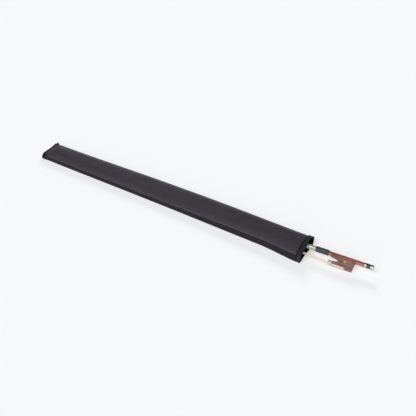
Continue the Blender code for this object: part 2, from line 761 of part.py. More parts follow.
def build_head_fittings(mats, chord):
    """Make the liner, the tip plate and the plug that holds the hair."""
    x0, x1 = mortise_span()
    half = HEAD_MORTISE_WIDTH / 2
    liner_top = -HEAD_DROP - RUNNING_FIT
    plate_top = liner_top - LINER_THICKNESS - RUNNING_FIT
    for name, top, thickness, mat in (("head_liner", liner_top, LINER_THICKNESS, "ebony"),
                                      ("head_plate", plate_top, PLATE_THICKNESS, "bone")):
        plate = add_object(name, loft([plate_outline(top - thickness), plate_outline(top)]), mats[mat], chord)
        hole = box((x0, -half, top - thickness - CUT_OVERRUN), (x1, half, top + CUT_OVERRUN))
        cut(plate, hole)
    plug_front = x0 + FIT
    plug_back = x1 - HAIR_THICKNESS - 2 * FIT
    add_object("head_plug", box((plug_front, -half + FIT, hair_tip_z() + HAIR_THICKNESS / 2 + FIT),
                                (plug_back, half - FIT, -HEAD_DROP + HEAD_MORTISE_DEPTH - FIT)),
               mats["maple"], chord)


def hair_tip_z():
    """Return the chord frame's z of the middle of the hair under the head."""
    return -HEAD_DROP - LINER_THICKNESS - PLATE_THICKNESS - 2 * RUNNING_FIT - FIT - HAIR_THICKNESS / 2


def hair_ring(centre, tangent, width):
    """Return a flat rounded section of the hair ribbon, with shallow ridges."""
    normal = Vector((0, 1, 0)).cross(tangent).normalized()
    side = Vector((0, 1, 0))
    steps = 8
    ridge = HAIR_THICKNESS * 0.12
    upper, lower = [], []
    for k in range(steps + 1):
        y = mix(-width / 2, width / 2, k / steps)
        edge = 0.55 if k in (0, steps) else 1.0
        bump = ridge if k % 2 else 0.0
        upper.append(centre + side * y + normal * ((HAIR_THICKNESS / 2) * edge - bump))
        lower.append(centre + side * y - normal * ((HAIR_THICKNESS / 2) * edge - bump))
    return upper + list(reversed(lower))


def build_hair(mats, chord):
    """Make the ribbon of hair from the head's mortise to the inside of the ferrule."""
    _, mortise_end = mortise_span()
    up_x = mortise_end - FIT - HAIR_THICKNESS / 2
    tip_z = hair_tip_z()
    inside = handle_to_chord((from_button(ferrule_front() - HAIR_IN_FERRULE), 0, -HAIR_DROP_FROG))
    mouth = handle_to_chord((from_button(ferrule_front() + FIT), 0, -HAIR_DROP_FROG))
    turn_radius = HAIR_THICKNESS
    corner = Vector((up_x, 0, tip_z))
    half_tip = HAIR_WIDTH_TIP
    stations = [
        (corner + Vector((0, 0, HAIR_TURN_DEPTH)), Vector((0, 0, -1)), half_tip),
        (corner + Vector((0, 0, turn_radius)), Vector((0, 0, -1)), half_tip),
        (corner + Vector((turn_radius * 0.3, 0, turn_radius * 0.3)), Vector((1, 0, -1)).normalized(), half_tip),
        (corner + Vector((turn_radius, 0, 0)), Vector((1, 0, 0)), half_tip),
    ]
    start = stations[-1][0]
    run = (mouth - start).normalized()
    for share in (0.05, 0.15, 0.4, 0.7):
        width = mix(HAIR_WIDTH_TIP, HAIR_WIDTH_FROG, min(1.0, share * 3) ** 0.6)
        stations.append((start.lerp(mouth, share), run, width))
    handle_dir = handle_to_chord((1, 0, 0))
    stations.append((mouth, ((run + handle_dir) / 2).normalized(), HAIR_WIDTH_FROG))
    stations.append((inside, handle_dir, HAIR_WIDTH_FROG))
    rings = [hair_ring(centre, tangent, width) for centre, tangent, width in stations]
    add_object("hair", loft(rings), mats["hair"], chord)


def build_winding(mats, handle):
    """Make the silver winding: one flat wire in an unbroken helix on the stick."""
    pitch = WINDING_LENGTH / WINDING_TURNS
    width = pitch - WINDING_GAP
    inner = STICK_HANDLE_SIZE / 2 + RUNNING_FIT
    outer = inner + WINDING_THICKNESS
    start = from_button(WINDING_START) - width / 2
    rings = []
    total = WINDING_TURNS * WINDING_STEPS - WINDING_STEPS
    for k in range(total + 1):
        a = 2 * math.pi * k / WINDING_STEPS
        x = start - pitch * k / WINDING_STEPS
        ca, sa = math.cos(a), math.sin(a)
        section = [(x - width / 2, inner), (x + width / 2, inner), (x + width / 4, outer), (x - width / 4, outer)]
        rings.append([(px, r * ca, r * sa) for px, r in section])
    print_winding_gap(rings)
    add_object("silver_winding", loft(rings), mats["silver"], handle, math.radians(60))


def print_winding_gap(rings):
    """Print the least gap between one turn of the winding and the next, on its points."""
    least = min((Vector(a) - Vector(b)).length
                for first, second in zip(rings, rings[WINDING_STEPS:])
                for a in first for b in second)
    print(f"least gap of the winding to itself: {least * 1000:.2f} mm")


def build_grip(mats, handle):
    """Make the leather grip: a sleeve with the sloping ridges of a wrapped strip."""
    inner = STICK_HANDLE_SIZE / 2 / math.cos(math.pi / 8) + RUNNING_FIT
    x1 = from_button(GRIP_START)
    x0 = x1 - GRIP_LENGTH
    steps = 20
    end_round = GRIP_THICKNESS / 2
    rings = []
    for side_index in range(ROUND_SIDES):
        a = 2 * math.pi * (side_index + 0.5) / ROUND_SIDES
        section = [(x0, inner)]
        for k in range(steps + 1):
            x = mix(x0, x1, k / steps)
            phase = (k / steps * GRIP_WRAPS + side_index / ROUND_SIDES) % 1.0
            ridge = GRIP_RIDGE * (1 - phase)
            taper = end_round if k in (0, steps) else 0.0
            section.append((x, inner + GRIP_THICKNESS + ridge - taper))
        section.append((x1, inner))
        rings.append([(x, r * math.cos(a), r * math.sin(a)) for x, r in section])
    add_object("leather_grip", loft(rings, closed_path=True), mats["leather"], handle, math.radians(60))


# Frog, in the handle frame moved to the frog's own origin at its heel

def ferrule_front():
    """Return the ferrule's front edge, from the button's end."""
    return FROG_HEEL + FROG_BODY_LENGTH + FERRULE_LENGTH


def frog_half_width(drop):
    """Return half the frog's width at a depth below the stick's axis."""
    t = (drop - FROG_TOP_DROP) / (FROG_BOTTOM_DROP - FROG_TOP_DROP)
    return mix(FROG_TOP_WIDTH, FROG_BOTTOM_WIDTH, t) / 2


def frog_profile():
    """Return the frog's side outline as (x, drop); x is negative toward the tip."""
    shoulder = -FROG_BODY_LENGTH
    tongue = shoulder - TONGUE_LENGTH
    underside = STICK_HANDLE_SIZE / 2 + RUNNING_FIT
    throat_x = shoulder + THROAT_REACH
    points = [(0.0, FROG_TOP_DROP), (-HEEL_SLANT, FROG_BOTTOM_DROP - FROG_EDGE),
              (-HEEL_SLANT - FROG_EDGE, FROG_BOTTOM_DROP),
              (shoulder, FROG_BOTTOM_DROP), (shoulder, SHOULDER_DROP)]
    # the throat: half an ellipse between the shoulder and the tongue's root
    half_height = (SHOULDER_DROP - (underside + TONGUE_TIP_THICKNESS * 3)) / 2
    middle = SHOULDER_DROP - half_height
    for k in range(1, 8):
        a = math.pi * k / 8
        points.append((shoulder + THROAT_REACH * math.sin(a), middle + half_height * math.cos(a)))
    points.append((shoulder, underside + TONGUE_TIP_THICKNESS * 3))
    points.append((tongue, underside + TONGUE_TIP_THICKNESS))
    points.append((tongue, FROG_TOP_DROP))
    return points


def build_frog(mats, frame):
    """Make the frog's body with its channel, tenon, eye seats, slide groove and mortise."""
    rings = []
    profile = frog_profile()
    for side in (-1, 1):
        rings.append([(x, side * frog_half_width(drop), -drop) for x, drop in profile])
    frog = add_object("frog_body", loft(rings), mats["frog_wood"], frame)
    shoulder = -FROG_BODY_LENGTH
    tenon = box((shoulder - FERRULE_LENGTH + FIT, -TENON_WIDTH / 2, -TENON_TOP_DROP - TENON_THICKNESS),
                (shoulder + CUT_OVERRUN, TENON_WIDTH / 2, -TENON_TOP_DROP))
    cut(frog, tenon, "UNION")
    apothem = STICK_HANDLE_SIZE / 2 + RUNNING_FIT
    corner = apothem / math.cos(math.pi / 8)
    prism = []
    for x in (shoulder - TONGUE_LENGTH - CUT_OVERRUN, CUT_OVERRUN):
        angles = [math.pi / 8 + math.pi / 4 * k for k in range(8)]
        prism.append([(x, corner * math.cos(a), corner * math.sin(a)) for a in angles])
    cut(frog, loft(prism))
    cut(frog, slide_block(SLIDE_WIDTH / 2, FIT, FROG_BOTTOM_DROP + CUT_OVERRUN, RUNNING_FIT))
    knot_x0, knot_x1 = knot_span()
    knot_roof = FROG_BOTTOM_DROP - SLIDE_THICKNESS - FIT
    cut(frog, box((knot_x0, -KNOT_WIDTH / 2, -knot_roof - CUT_OVERRUN), (knot_x1, KNOT_WIDTH / 2, -knot_roof + KNOT_DEPTH)))
    for side in (-1, 1):
        cut(frog, eye_disc(side, EYE_DIAMETER / 2 + RUNNING_FIT, EYE_DEPTH + RUNNING_FIT, CUT_OVERRUN))
    post = post_cylinder(EYELET_POST / 2 + RUNNING_FIT, EYELET_POST_DEPTH + FIT, CUT_OVERRUN)
    cut(frog, post)
    return frog


def knot_span():
    """Return the frog frame's x range of the hair mortise."""
    front = -FROG_BODY_LENGTH + KNOT_WIDTH / 4
    return front, front + KNOT_LENGTH


def slide_block(half_width, clearance, bottom_drop, side_play):
    """Return the dovetailed slide, or with clearances its groove, in the frog frame."""
    x1 = -SLIDE_START + (clearance if clearance else 0.0)
    x0 = -FROG_BODY_LENGTH + (0.0 if clearance else FIT)
    if clearance:
        x0 -= CUT_OVERRUN
    top = FROG_BOTTOM_DROP - SLIDE_THICKNESS - clearance
    undercut = SLIDE_THICKNESS / 3
    wide = half_width + side_play
    rings = []
    for x in (x0, x1):
        rings.append([(x, -wide - undercut, -top), (x, wide + undercut, -top),
                      (x, wide, -bottom_drop), (x, -wide, -bottom_drop)])
    return loft(rings)


def eye_disc(side, radius, depth, proud=0.0):
    """Return a disc set in the frog's sloping cheek; proud lifts its outer face."""
    drop = EYE_DROP
    slope = math.atan2((FROG_BOTTOM_WIDTH - FROG_TOP_WIDTH) / 2, FROG_BOTTOM_DROP - FROG_TOP_DROP)
    centre = Vector((-EYE_FROM_HEEL, side * frog_half_width(drop), -drop))
    out = Vector((0, side * math.cos(slope), math.sin(slope)))
    along = Vector((1, 0, 0))
    up = out.cross(along)
    rings = []
    for offset in (-depth, proud):
        ring = []
        for k in range(ROUND_SIDES):
            a = 2 * math.pi * k / ROUND_SIDES
            ring.append(centre + out * offset + along * (radius * math.cos(a)) + up * (radius * math.sin(a)))
        rings.append(ring)
    return loft(rings)


def post_cylinder(radius, depth, above=0.0):
    """Return the upright post of the eyelet, or with play its hole, in the frog frame."""
    x = FROG_HEEL - EYELET_PLACE
    top = -EYELET_BELOW + above
    rings = []
    for z in (-EYELET_BELOW - depth, top):
        angles = [2 * math.pi * k / 12 for k in range(12)]
        rings.append([(x + radius * math.cos(a), radius * math.sin(a), z) for a in angles])
    return loft(rings)


def build_eyelet(mats, frame):
    """Make the brass eyelet: a threaded block in the stick with its post in the frog."""
    x = FROG_HEEL - EYELET_PLACE
    block = box((x - EYELET_LENGTH / 2, -EYELET_WIDTH / 2, -EYELET_BELOW),
                (x + EYELET_LENGTH / 2, EYELET_WIDTH / 2, EYELET_ABOVE))
    eyelet = add_object("eyelet", block, mats["brass"], frame)
    cut(eyelet, post_cylinder(EYELET_POST / 2, EYELET_POST_DEPTH, EYELET_BELOW / 4), "UNION")
    hole = SCREW_DIAMETER / 2 + RUNNING_FIT
    cut(eyelet, turned([(x - EYELET_LENGTH, hole), (x + EYELET_LENGTH, hole)]))


def ferrule_outline(offset):
    """Return the ferrule's D section as (y, drop), drawn in by offset."""
    half = FERRULE_WIDTH / 2 - offset
    bottom = FROG_BOTTOM_DROP + FERRULE_WALL - offset
    top = FERRULE_TOP_DROP + offset
    spring = FERRULE_TOP_DROP + FERRULE_ARCH
    corner = max(FERRULE_CORNER - offset, FERRULE_CORNER / 3)
    arch = spring - top
    points = []
    for k in range(13):
        a = math.pi * k / 12
        points.append((half * math.cos(a), spring - arch * math.sin(a)))
    for side in (-1, 1):
        arc = []
        for k in range(4):
            a = math.pi / 2 * k / 3
            arc.append((side * (half - corner + corner * math.cos(a)), bottom - corner + corner * math.sin(a)))
        points += arc if side < 0 else list(reversed(arc))
    return points


def build_frog_fittings(mats, frame):
    """Make the ferrule, the slide, the eyes, the knot plug and the spread wedge."""
    shoulder = -FROG_BODY_LENGTH
    x1 = shoulder - FIT
    x0 = shoulder - FERRULE_LENGTH
    outer, inner = ferrule_outline(0.0), ferrule_outline(FERRULE_WALL)
    rings = []
    for (yo, do), (yi, di) in zip(outer, inner):
        rings.append([(x0, yo, -do), (x1, yo, -do), (x1, yi, -di), (x0, yi, -di)])
    add_object("ferrule", loft(rings, closed_path=True), mats["silver"], frame)
    add_object("pearl_slide", slide_block(SLIDE_WIDTH / 2, 0.0, FROG_BOTTOM_DROP, 0.0), mats["pearl"], frame)
    for name, side in (("near_eye", -1), ("far_eye", 1)):
        add_object(name, eye_disc(side, EYE_DIAMETER / 2, EYE_DEPTH), mats["pearl"], frame)
    knot_x0, knot_x1 = knot_span()
    roof = FROG_BOTTOM_DROP - SLIDE_THICKNESS - FIT
    add_object("knot_plug", box((knot_x0 + FIT, -KNOT_WIDTH / 2 + FIT, -roof + FIT),
                                (knot_x1 - FIT, KNOT_WIDTH / 2 - FIT, -roof + KNOT_DEPTH - FIT)),
               mats["maple"], frame)
    wedge_top = -TENON_TOP_DROP - TENON_THICKNESS - RUNNING_FIT
    wedge_bottom = wedge_top - WEDGE_THICKNESS
    add_object("spread_wedge", box((x0 + FIT, -WEDGE_WIDTH / 2, wedge_bottom), (x1, WEDGE_WIDTH / 2, wedge_top)),
               mats["maple"], frame)


# Screw and button, turned about the screw's axis

def build_screw(mats, frame):
    """Make the screw and the ring, collar and cap of its button.

    The frame's origin is on the screw's axis at the button's end, X pointing out.
    """
    radius = SCREW_DIAMETER / 2
    core = radius - THREAD_DEPTH
    plain_end = -(SCREW_LENGTH - THREAD_LENGTH)
    rings = [circle(x, radius) for x in (-SCREW_HEAD_INSET, plain_end)]
    # a thread that really climbs: every section's radius follows the helix's phase
    per_pitch = 4
    count = int(THREAD_LENGTH / THREAD_PITCH * per_pitch)
    for n in range(1, count):
        x = plain_end - THREAD_LENGTH * n / count
        ring = []
        for k in range(ROUND_SIDES):
            a = 2 * math.pi * k / ROUND_SIDES
            phase = (n / per_pitch + k / ROUND_SIDES) % 1.0
            r = mix(core, radius, abs(2 * phase - 1))
            ring.append((x, r * math.cos(a), r * math.sin(a)))
        rings.append(ring)
    rings.append(circle(-SCREW_LENGTH, core - SCREW_TIP / 4))
    add_object("screw_shaft", loft(rings), mats["steel"], frame)
    bore = radius + RUNNING_FIT
    button = BUTTON_DIAMETER / 2
    cap_back = -BUTTON_CAP_LENGTH
    cap = turned_blind(0.0, cap_back, button, bore, -SCREW_HEAD_INSET + FIT)
    add_object("button_cap", cap, mats["silver"], frame)
    collar_front = cap_back - FIT
    collar_back = collar_front - BUTTON_COLLAR_LENGTH
    add_object("button_collar", pipe_with_edges(collar_back, collar_front, button - BUTTON_EDGE / 4, bore), mats["ebony"], frame)
    ring_front = collar_back - FIT
    ring_back = ring_front - BUTTON_RING_LENGTH
    add_object("button_ring", pipe_with_edges(ring_back, ring_front, button, bore), mats["silver"], frame)


def pipe_with_edges(x0, x1, outer, inner):
    """Return a bmesh of a bored cylinder along X with broken outer edges."""
    edge = BUTTON_EDGE / 2
    section = [(x0, inner), (x0, outer - edge), (x0 + edge, outer), (x1 - edge, outer), (x1, outer - edge), (x1, inner)]
    return turned_ring(section, BUTTON_SIDES)


def turned_blind(front, back, outer, bore, bore_end):
    """Return a bmesh of a domed cap along X, bored blind from its back face."""
    edge = BUTTON_EDGE
    profile = [(bore_end, bore / 8), (bore_end, bore), (back, bore), (back, outer - edge / 2), (back + edge / 2, outer),
               (front - BUTTON_DOME - edge, outer), (front - BUTTON_DOME, outer - edge / 2),
               (front - BUTTON_DOME / 4, outer / 2), (front, outer / 8)]
    return turned(profile, BUTTON_SIDES)


# Assembly

def make_materials():
    """Return the materials of the part by name."""
    return {
        "nylon": make_material("woven_nylon", (0.045, 0.042, 0.048), 0.62),
        "gusset": make_material("gusset_nylon", (0.022, 0.020, 0.022), 0.70),
        "hem": make_material("hem_nylon", (0.030, 0.028, 0.032), 0.66),
        "tape": make_material("binding_tape", (0.016, 0.015, 0.016), 0.75),
        "foam": make_material("padding_foam", (0.30, 0.30, 0.30), 0.95),
        "lining": make_material("lining_cloth", (0.010, 0.010, 0.010), 0.85),
        "brazilwood": make_material("brazilwood", (0.30, 0.075, 0.045), 0.32),
        "ebony": make_material("ebony", (0.020, 0.018, 0.018), 0.30),
        "bone": make_material("tip_plate", (0.80, 0.76, 0.66), 0.35),
        "maple": make_material("maple", (0.55, 0.40, 0.24), 0.60),
        "hair": make_material("bow_hair", (0.82, 0.72, 0.54), 0.55),
        "silver": make_material("silver", (0.80, 0.78, 0.75), 0.25, 1.0),
        "leather": make_material("grip_leather", (0.040, 0.040, 0.047), 0.45),
        "frog_wood": make_material("frog_wood", (0.23, 0.135, 0.105), 0.42),
        "pearl": make_material("pearl", (0.75, 0.72, 0.68), 0.22),
        "brass": make_material("brass", (0.78, 0.57, 0.22), 0.30, 1.0),
        "steel": make_material("screw_steel", (0.55, 0.55, 0.56), 0.30, 1.0),
    }


def main():
    """Build every piece of the sleeve and of the bow."""
    clear_scene()
    mats = make_materials()
    build_sleeve_layers(mats)
    build_gussets(mats)
    build_end_binding(mats)
    build_hems(mats)
    chord, handle = bow_frames()
    build_stick(mats, chord, handle)
    build_head_fittings(mats, chord)
    build_hair(mats, chord)
    build_winding(mats, handle)
    build_grip(mats, handle)
    frog_frame = add_empty("frog_frame", Matrix.Translation((from_button(FROG_HEEL), 0, 0)), handle)
    build_frog(mats, frog_frame)
    build_eyelet(mats, frog_frame)
    build_frog_fittings(mats, frog_frame)
    screw_frame = add_empty("screw_frame", Matrix.Translation((from_button(0.0), 0, 0)), handle)
    build_screw(mats, screw_frame)


main()
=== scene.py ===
"""Dressed model of a violin bow in its soft padded sleeve.

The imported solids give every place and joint. This script adds the sewn cloth, the
stitching, the hair, the winding and the finishes, and sets up the floor, light and camera.

Metres, +Z up. X runs along the sleeve to its open mouth, -Y is the near side, +Y the far.
"""
from __future__ import annotations

import json
import logging
import math
from dataclasses import dataclass, field
from enum import Enum
from typing import Any, Callable, NamedTuple, Sequence

import bmesh
import bpy
import numpy as np
from mathutils import Matrix, Vector

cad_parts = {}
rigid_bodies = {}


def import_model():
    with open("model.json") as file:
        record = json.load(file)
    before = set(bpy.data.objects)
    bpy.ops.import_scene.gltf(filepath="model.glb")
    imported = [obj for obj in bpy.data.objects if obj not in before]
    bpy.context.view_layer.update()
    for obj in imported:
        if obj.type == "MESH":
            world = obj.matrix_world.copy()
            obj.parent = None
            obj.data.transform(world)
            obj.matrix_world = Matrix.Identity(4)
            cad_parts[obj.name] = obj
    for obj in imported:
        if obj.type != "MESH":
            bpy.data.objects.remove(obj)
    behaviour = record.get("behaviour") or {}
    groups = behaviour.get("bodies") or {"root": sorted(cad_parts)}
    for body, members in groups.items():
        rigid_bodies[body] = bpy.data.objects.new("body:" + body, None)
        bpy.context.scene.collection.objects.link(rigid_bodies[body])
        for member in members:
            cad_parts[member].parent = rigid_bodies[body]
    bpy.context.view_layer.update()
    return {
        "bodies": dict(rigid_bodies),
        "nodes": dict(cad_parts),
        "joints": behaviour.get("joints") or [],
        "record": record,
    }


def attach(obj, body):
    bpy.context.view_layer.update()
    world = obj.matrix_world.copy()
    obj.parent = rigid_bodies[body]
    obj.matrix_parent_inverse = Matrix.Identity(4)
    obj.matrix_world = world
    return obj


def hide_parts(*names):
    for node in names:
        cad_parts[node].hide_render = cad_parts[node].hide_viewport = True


LOG = logging.getLogger("bow_sleeve")
MM = 0.001
TAU = 2 * math.pi
Stops = Sequence[tuple[float, str]]


class Plane(Enum):
    """The two object axes that a cloth's threads run along."""

    FLAT = ("X", "Y")
    UPRIGHT = ("X", "Z")
    CROSS = ("Y", "Z")


class Body(str, Enum):
    """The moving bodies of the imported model."""

    SLEEVE = "sleeve"
    BOW = "bow"
    FROG = "frog"
    SCREW = "screw"


# Colours, nodes and finishes

MATH = "ShaderNodeMath"
MIX = "ShaderNodeMix"
RAMP = "ShaderNodeValToRGB"
SHARE, UNDER, OVER = 0, 6, 7  # sockets of a Mix node that mixes colours


def srgb(code: str) -> tuple[float, float, float, float]:
    """Convert an sRGB hex colour to linear RGBA.

    Args:
        code: Six hex digits, such as "3F3D42".

    Returns:
        The linear colour with an alpha of 1.
    """
    parts = [int(code[k:k + 2], 16) / 255 for k in (0, 2, 4)]
    linear = [p / 12.92 if p <= 0.04045 else ((p + 0.055) / 1.055) ** 2.4 for p in parts]
    return (*linear, 1.0)


def fill_inputs(tree: bpy.types.NodeTree, node: bpy.types.Node, inputs: dict[Any, Any]) -> None:
    """Set or link a node's inputs.

    Args:
        tree: The node's tree.
        node: The node.
        inputs: Socket name or index to a value, an output socket, or a node, whose first live
            output is then linked.
    """
    for key, value in inputs.items():
        if isinstance(value, bpy.types.Node):
            value = next(socket for socket in value.outputs if socket.enabled)
        if isinstance(value, bpy.types.NodeSocket):
            tree.links.new(value, node.inputs[key])
        else:
            node.inputs[key].default_value = value


def add_node(tree: bpy.types.NodeTree, kind: str, inputs: dict[Any, Any] | Sequence[Any] = (),
             stops: Stops = (), **settings: Any) -> bpy.types.Node:
    """Add a node with its settings and links.

    Args:
        tree: The node tree to add to.
        kind: The node's type name.
        inputs: What fill_inputs takes, or the same in socket order.
        stops: Places and sRGB hex colours, in order, of a colour ramp.
        settings: Node properties.

    Returns:
        The new node.
    """
    node = tree.nodes.new(kind)
    for name, value in settings.items():
        setattr(node, name, value)
    if stops:
        elements = node.color_ramp.elements
        while len(elements) < len(stops):
            elements.new(0.5)
        for element, (place, code) in zip(elements, stops):
            element.position = place
            element.color = srgb(code)
    fill_inputs(tree, node, inputs if isinstance(inputs, dict) else dict(enumerate(inputs)))
    return node


class Look(NamedTuple):
    """What a finish gives its shader: a colour, a height from 0 to 1 and a roughness."""

    colour: bpy.types.Node
    height: bpy.types.Node
    roughness: bpy.types.Node | float


@dataclass(frozen=True)
class Finish:
    """A surface finish: its material's name, how it takes light and how deep its relief is."""

    name: str
    roughness: float = 0.5
    metallic: float = 0.0
    specular: float = 0.5                   # specular level; 0.5 is an IOR of 1.5
    coat: float = 0.0
    sheen: float = 0.0
    coat_roughness: float = 0.12
    sheen_roughness: float = 0.45
    depth: float = 0.12 * MM                # height of the relief
    relief: float = 1.0                     # share of it that shows
    uneven: tuple[float, float] = (0.0, 0.0)  # roughness: factor and offset on the pattern

    def build(self) -> bpy.types.Material:
        """Make the material.

        Returns:
            The node-based material.
        """
        material = bpy.data.materials.new(self.name)
        material.use_nodes = True
        tree = material.node_tree
        look = self.dress(tree, add_node(tree, "ShaderNodeTexCoord").outputs["Object"])
        bump = add_node(tree, "ShaderNodeBump",
                        {"Height": look.height, "Distance": self.depth, "Strength": self.relief})
        fill_inputs(tree, tree.nodes["Principled BSDF"], {
            "Base Color": look.colour, "Roughness": look.roughness, "Normal": bump,
            "Metallic": self.metallic, "Specular IOR Level": self.specular,
            "Coat Weight": self.coat, "Coat Roughness": self.coat_roughness,
            "Sheen Weight": self.sheen, "Sheen Roughness": self.sheen_roughness})
        return material

    def dress(self, tree: bpy.types.NodeTree, where: bpy.types.NodeSocket) -> Look:
        """Draw the finish on object coordinates and give its colour, height and roughness."""
        raise NotImplementedError

    def roughened(self, tree: bpy.types.NodeTree, pattern: bpy.types.Node) -> bpy.types.Node:
        """Let the roughness follow a pattern from 0 to 1."""
        factor, offset = self.uneven
        return add_node(tree, MATH, (pattern, factor, self.roughness + offset), operation="MULTIPLY_ADD")

    @staticmethod
    def clouds(tree: bpy.types.NodeTree, where: bpy.types.NodeSocket | bpy.types.Node, size: float,
               detail: float = 3.0, stretch: tuple[float, float, float] = (1, 1, 1)) -> bpy.types.Node:
        """Random clouds a real size apart, drawn out along an axis by a stretch below 1."""
        mapped = add_node(tree, "ShaderNodeMapping", {"Vector": where, "Scale": stretch})
        return add_node(tree, "ShaderNodeTexNoise", {"Vector": mapped, "Scale": 1 / size, "Detail": detail})

    @staticmethod
    def specked(tree: bpy.types.NodeTree, colour: bpy.types.Node, pattern: bpy.types.Node, least: float,
                share: float, code: str) -> bpy.types.Node:
        """Lay faint specks over a colour.

        Args:
            tree: The material's nodes.
            colour: The colour below.
            pattern: Fine clouds.
            least: Value above which a cloud is a speck.
            share: How much of the speck's colour shows.
            code: The specks' sRGB hex colour.

        Returns:
            The specked colour.
        """
        speck = add_node(tree, MATH, (pattern, least), operation="GREATER_THAN")
        faint = add_node(tree, MATH, (speck, share), operation="MULTIPLY")
        return add_node(tree, MIX, {SHARE: faint, UNDER: colour, OVER: srgb(code)}, data_type="RGBA")


@dataclass(frozen=True)
class Cloth(Finish):
    """A woven cloth: crossing threads that wander a little, a soft mottle, fuzz and lint."""

    uneven: tuple[float, float] = (0.18, -0.09)
    thread: str = "3C3A3F"
    gap: str = "1A191C"
    pitch: float = 0.9 * MM                 # thread to thread
    plane: Plane = Plane.FLAT               # axes that the threads cross
    ribs: bool = False                      # ribs across the first axis only
    drift: float = 1.6                      # how far threads wander, in radians
    drift_size: float = 6.25 * MM
    fuzz: float = 0.35                      # height of the fibres
    fuzz_size: float = 0.38462 * MM
    mottle: float = 0.25                    # share of the broad mottle that shows
    mottle_size: float = 35.714 * MM
    mottle_stretch: tuple[float, float, float] = (0.35, 1, 1)  # longer along X
    mottle_stops: Stops = ((0.25, "A8A8A8"), (0.75, "FFFFFF"))
    lint: str = "8C8A90"
    lint_size: float = 1.4286 * MM
    lint_least: float = 0.74
    lint_share: float = 0.10

    def dress(self, tree: bpy.types.NodeTree, where: bpy.types.NodeSocket) -> Look:
        """Weave the cloth in object coordinates.

        Args:
            tree: The material's nodes.
            where: Object coordinates.

        Returns:
            Its colour, height and roughness.
        """
        axes = add_node(tree, "ShaderNodeSeparateXYZ", (where,))
        wander = self.clouds(tree, where, self.drift_size, 2)
        threads = []
        for axis in self.plane.value:
            turn = add_node(tree, MATH, (axes.outputs[axis], TAU / self.pitch), operation="MULTIPLY")
            turn = add_node(tree, MATH, (wander, self.drift, turn), operation="MULTIPLY_ADD")
            threads.append(add_node(tree, MATH, (turn,), operation="SINE"))
        crossed = threads[0] if self.ribs else add_node(tree, MATH, threads, operation="MULTIPLY")
        weave = add_node(tree, MATH, (crossed, 0.5, 0.5), operation="MULTIPLY_ADD")
        fluff = self.clouds(tree, where, self.fuzz_size, 2)
        height = add_node(tree, MATH, (fluff, self.fuzz, weave), operation="MULTIPLY_ADD")
        broad = self.clouds(tree, where, self.mottle_size, 4, self.mottle_stretch)
        colour = add_node(tree, MIX, {SHARE: weave, UNDER: srgb(self.gap), OVER: srgb(self.thread)},
                          data_type="RGBA")
        shade = add_node(tree, RAMP, (broad,), self.mottle_stops)
        shaded = add_node(tree, MIX, {SHARE: 1.0, UNDER: colour, OVER: shade},
                          data_type="RGBA", blend_type="MULTIPLY")
        colour = add_node(tree, MIX, {SHARE: self.mottle, UNDER: colour, OVER: shaded}, data_type="RGBA")
        colour = self.specked(tree, colour, self.clouds(tree, where, self.lint_size, 1),
                              self.lint_least, self.lint_share, self.lint)
        return Look(colour, height, self.roughened(tree, broad))


@dataclass(frozen=True)
class Wood(Finish):
    """Wood with streaks and open pores along X."""

    depth: float = 0.03 * MM
    relief: float = 0.6
    uneven: tuple[float, float] = (0.2, -0.1)
    stops: Stops = ((0.3, "5A241B"), (0.7, "9A4A35"))
    streak: float = 2.381 * MM              # across the grain
    fine_part: float = 0.35                 # share of the fine streaks
    drift: float = 0.22                     # broad change of tone
    drift_size: float = 45.455 * MM
    pores: float = 0.35                     # how dark the pores are
    pore_least: float = 0.66
    pore: str = "1E0F0B"

    def dress(self, tree: bpy.types.NodeTree, where: bpy.types.NodeSocket) -> Look:
        """Draw grain along X.

        Args:
            tree: The material's nodes.
            where: Object coordinates.

        Returns:
            Its colour, height and roughness.
        """
        drift = self.clouds(tree, where, self.drift_size, 2, (1, 2, 2))
        broad = self.clouds(tree, where, self.streak, 3, (0.045, 1, 1))
        fine = self.clouds(tree, where, self.streak / 4, 2, (0.02, 1, 1))
        pores = self.clouds(tree, where, self.streak / 5, 1, (0.03, 1, 1))
        grain = add_node(tree, MATH, (broad, 1 - self.fine_part), operation="MULTIPLY")
        grain = add_node(tree, MATH, (fine, self.fine_part, grain), operation="MULTIPLY_ADD")
        grain = add_node(tree, MATH, (grain, self.drift / 2), operation="SUBTRACT")
        grain = add_node(tree, MATH, (drift, self.drift, grain), operation="MULTIPLY_ADD")
        colour = add_node(tree, RAMP, (grain,), self.stops)
        colour = self.specked(tree, colour, pores, self.pore_least, self.pores, self.pore)
        return Look(colour, grain, self.roughened(tree, broad))


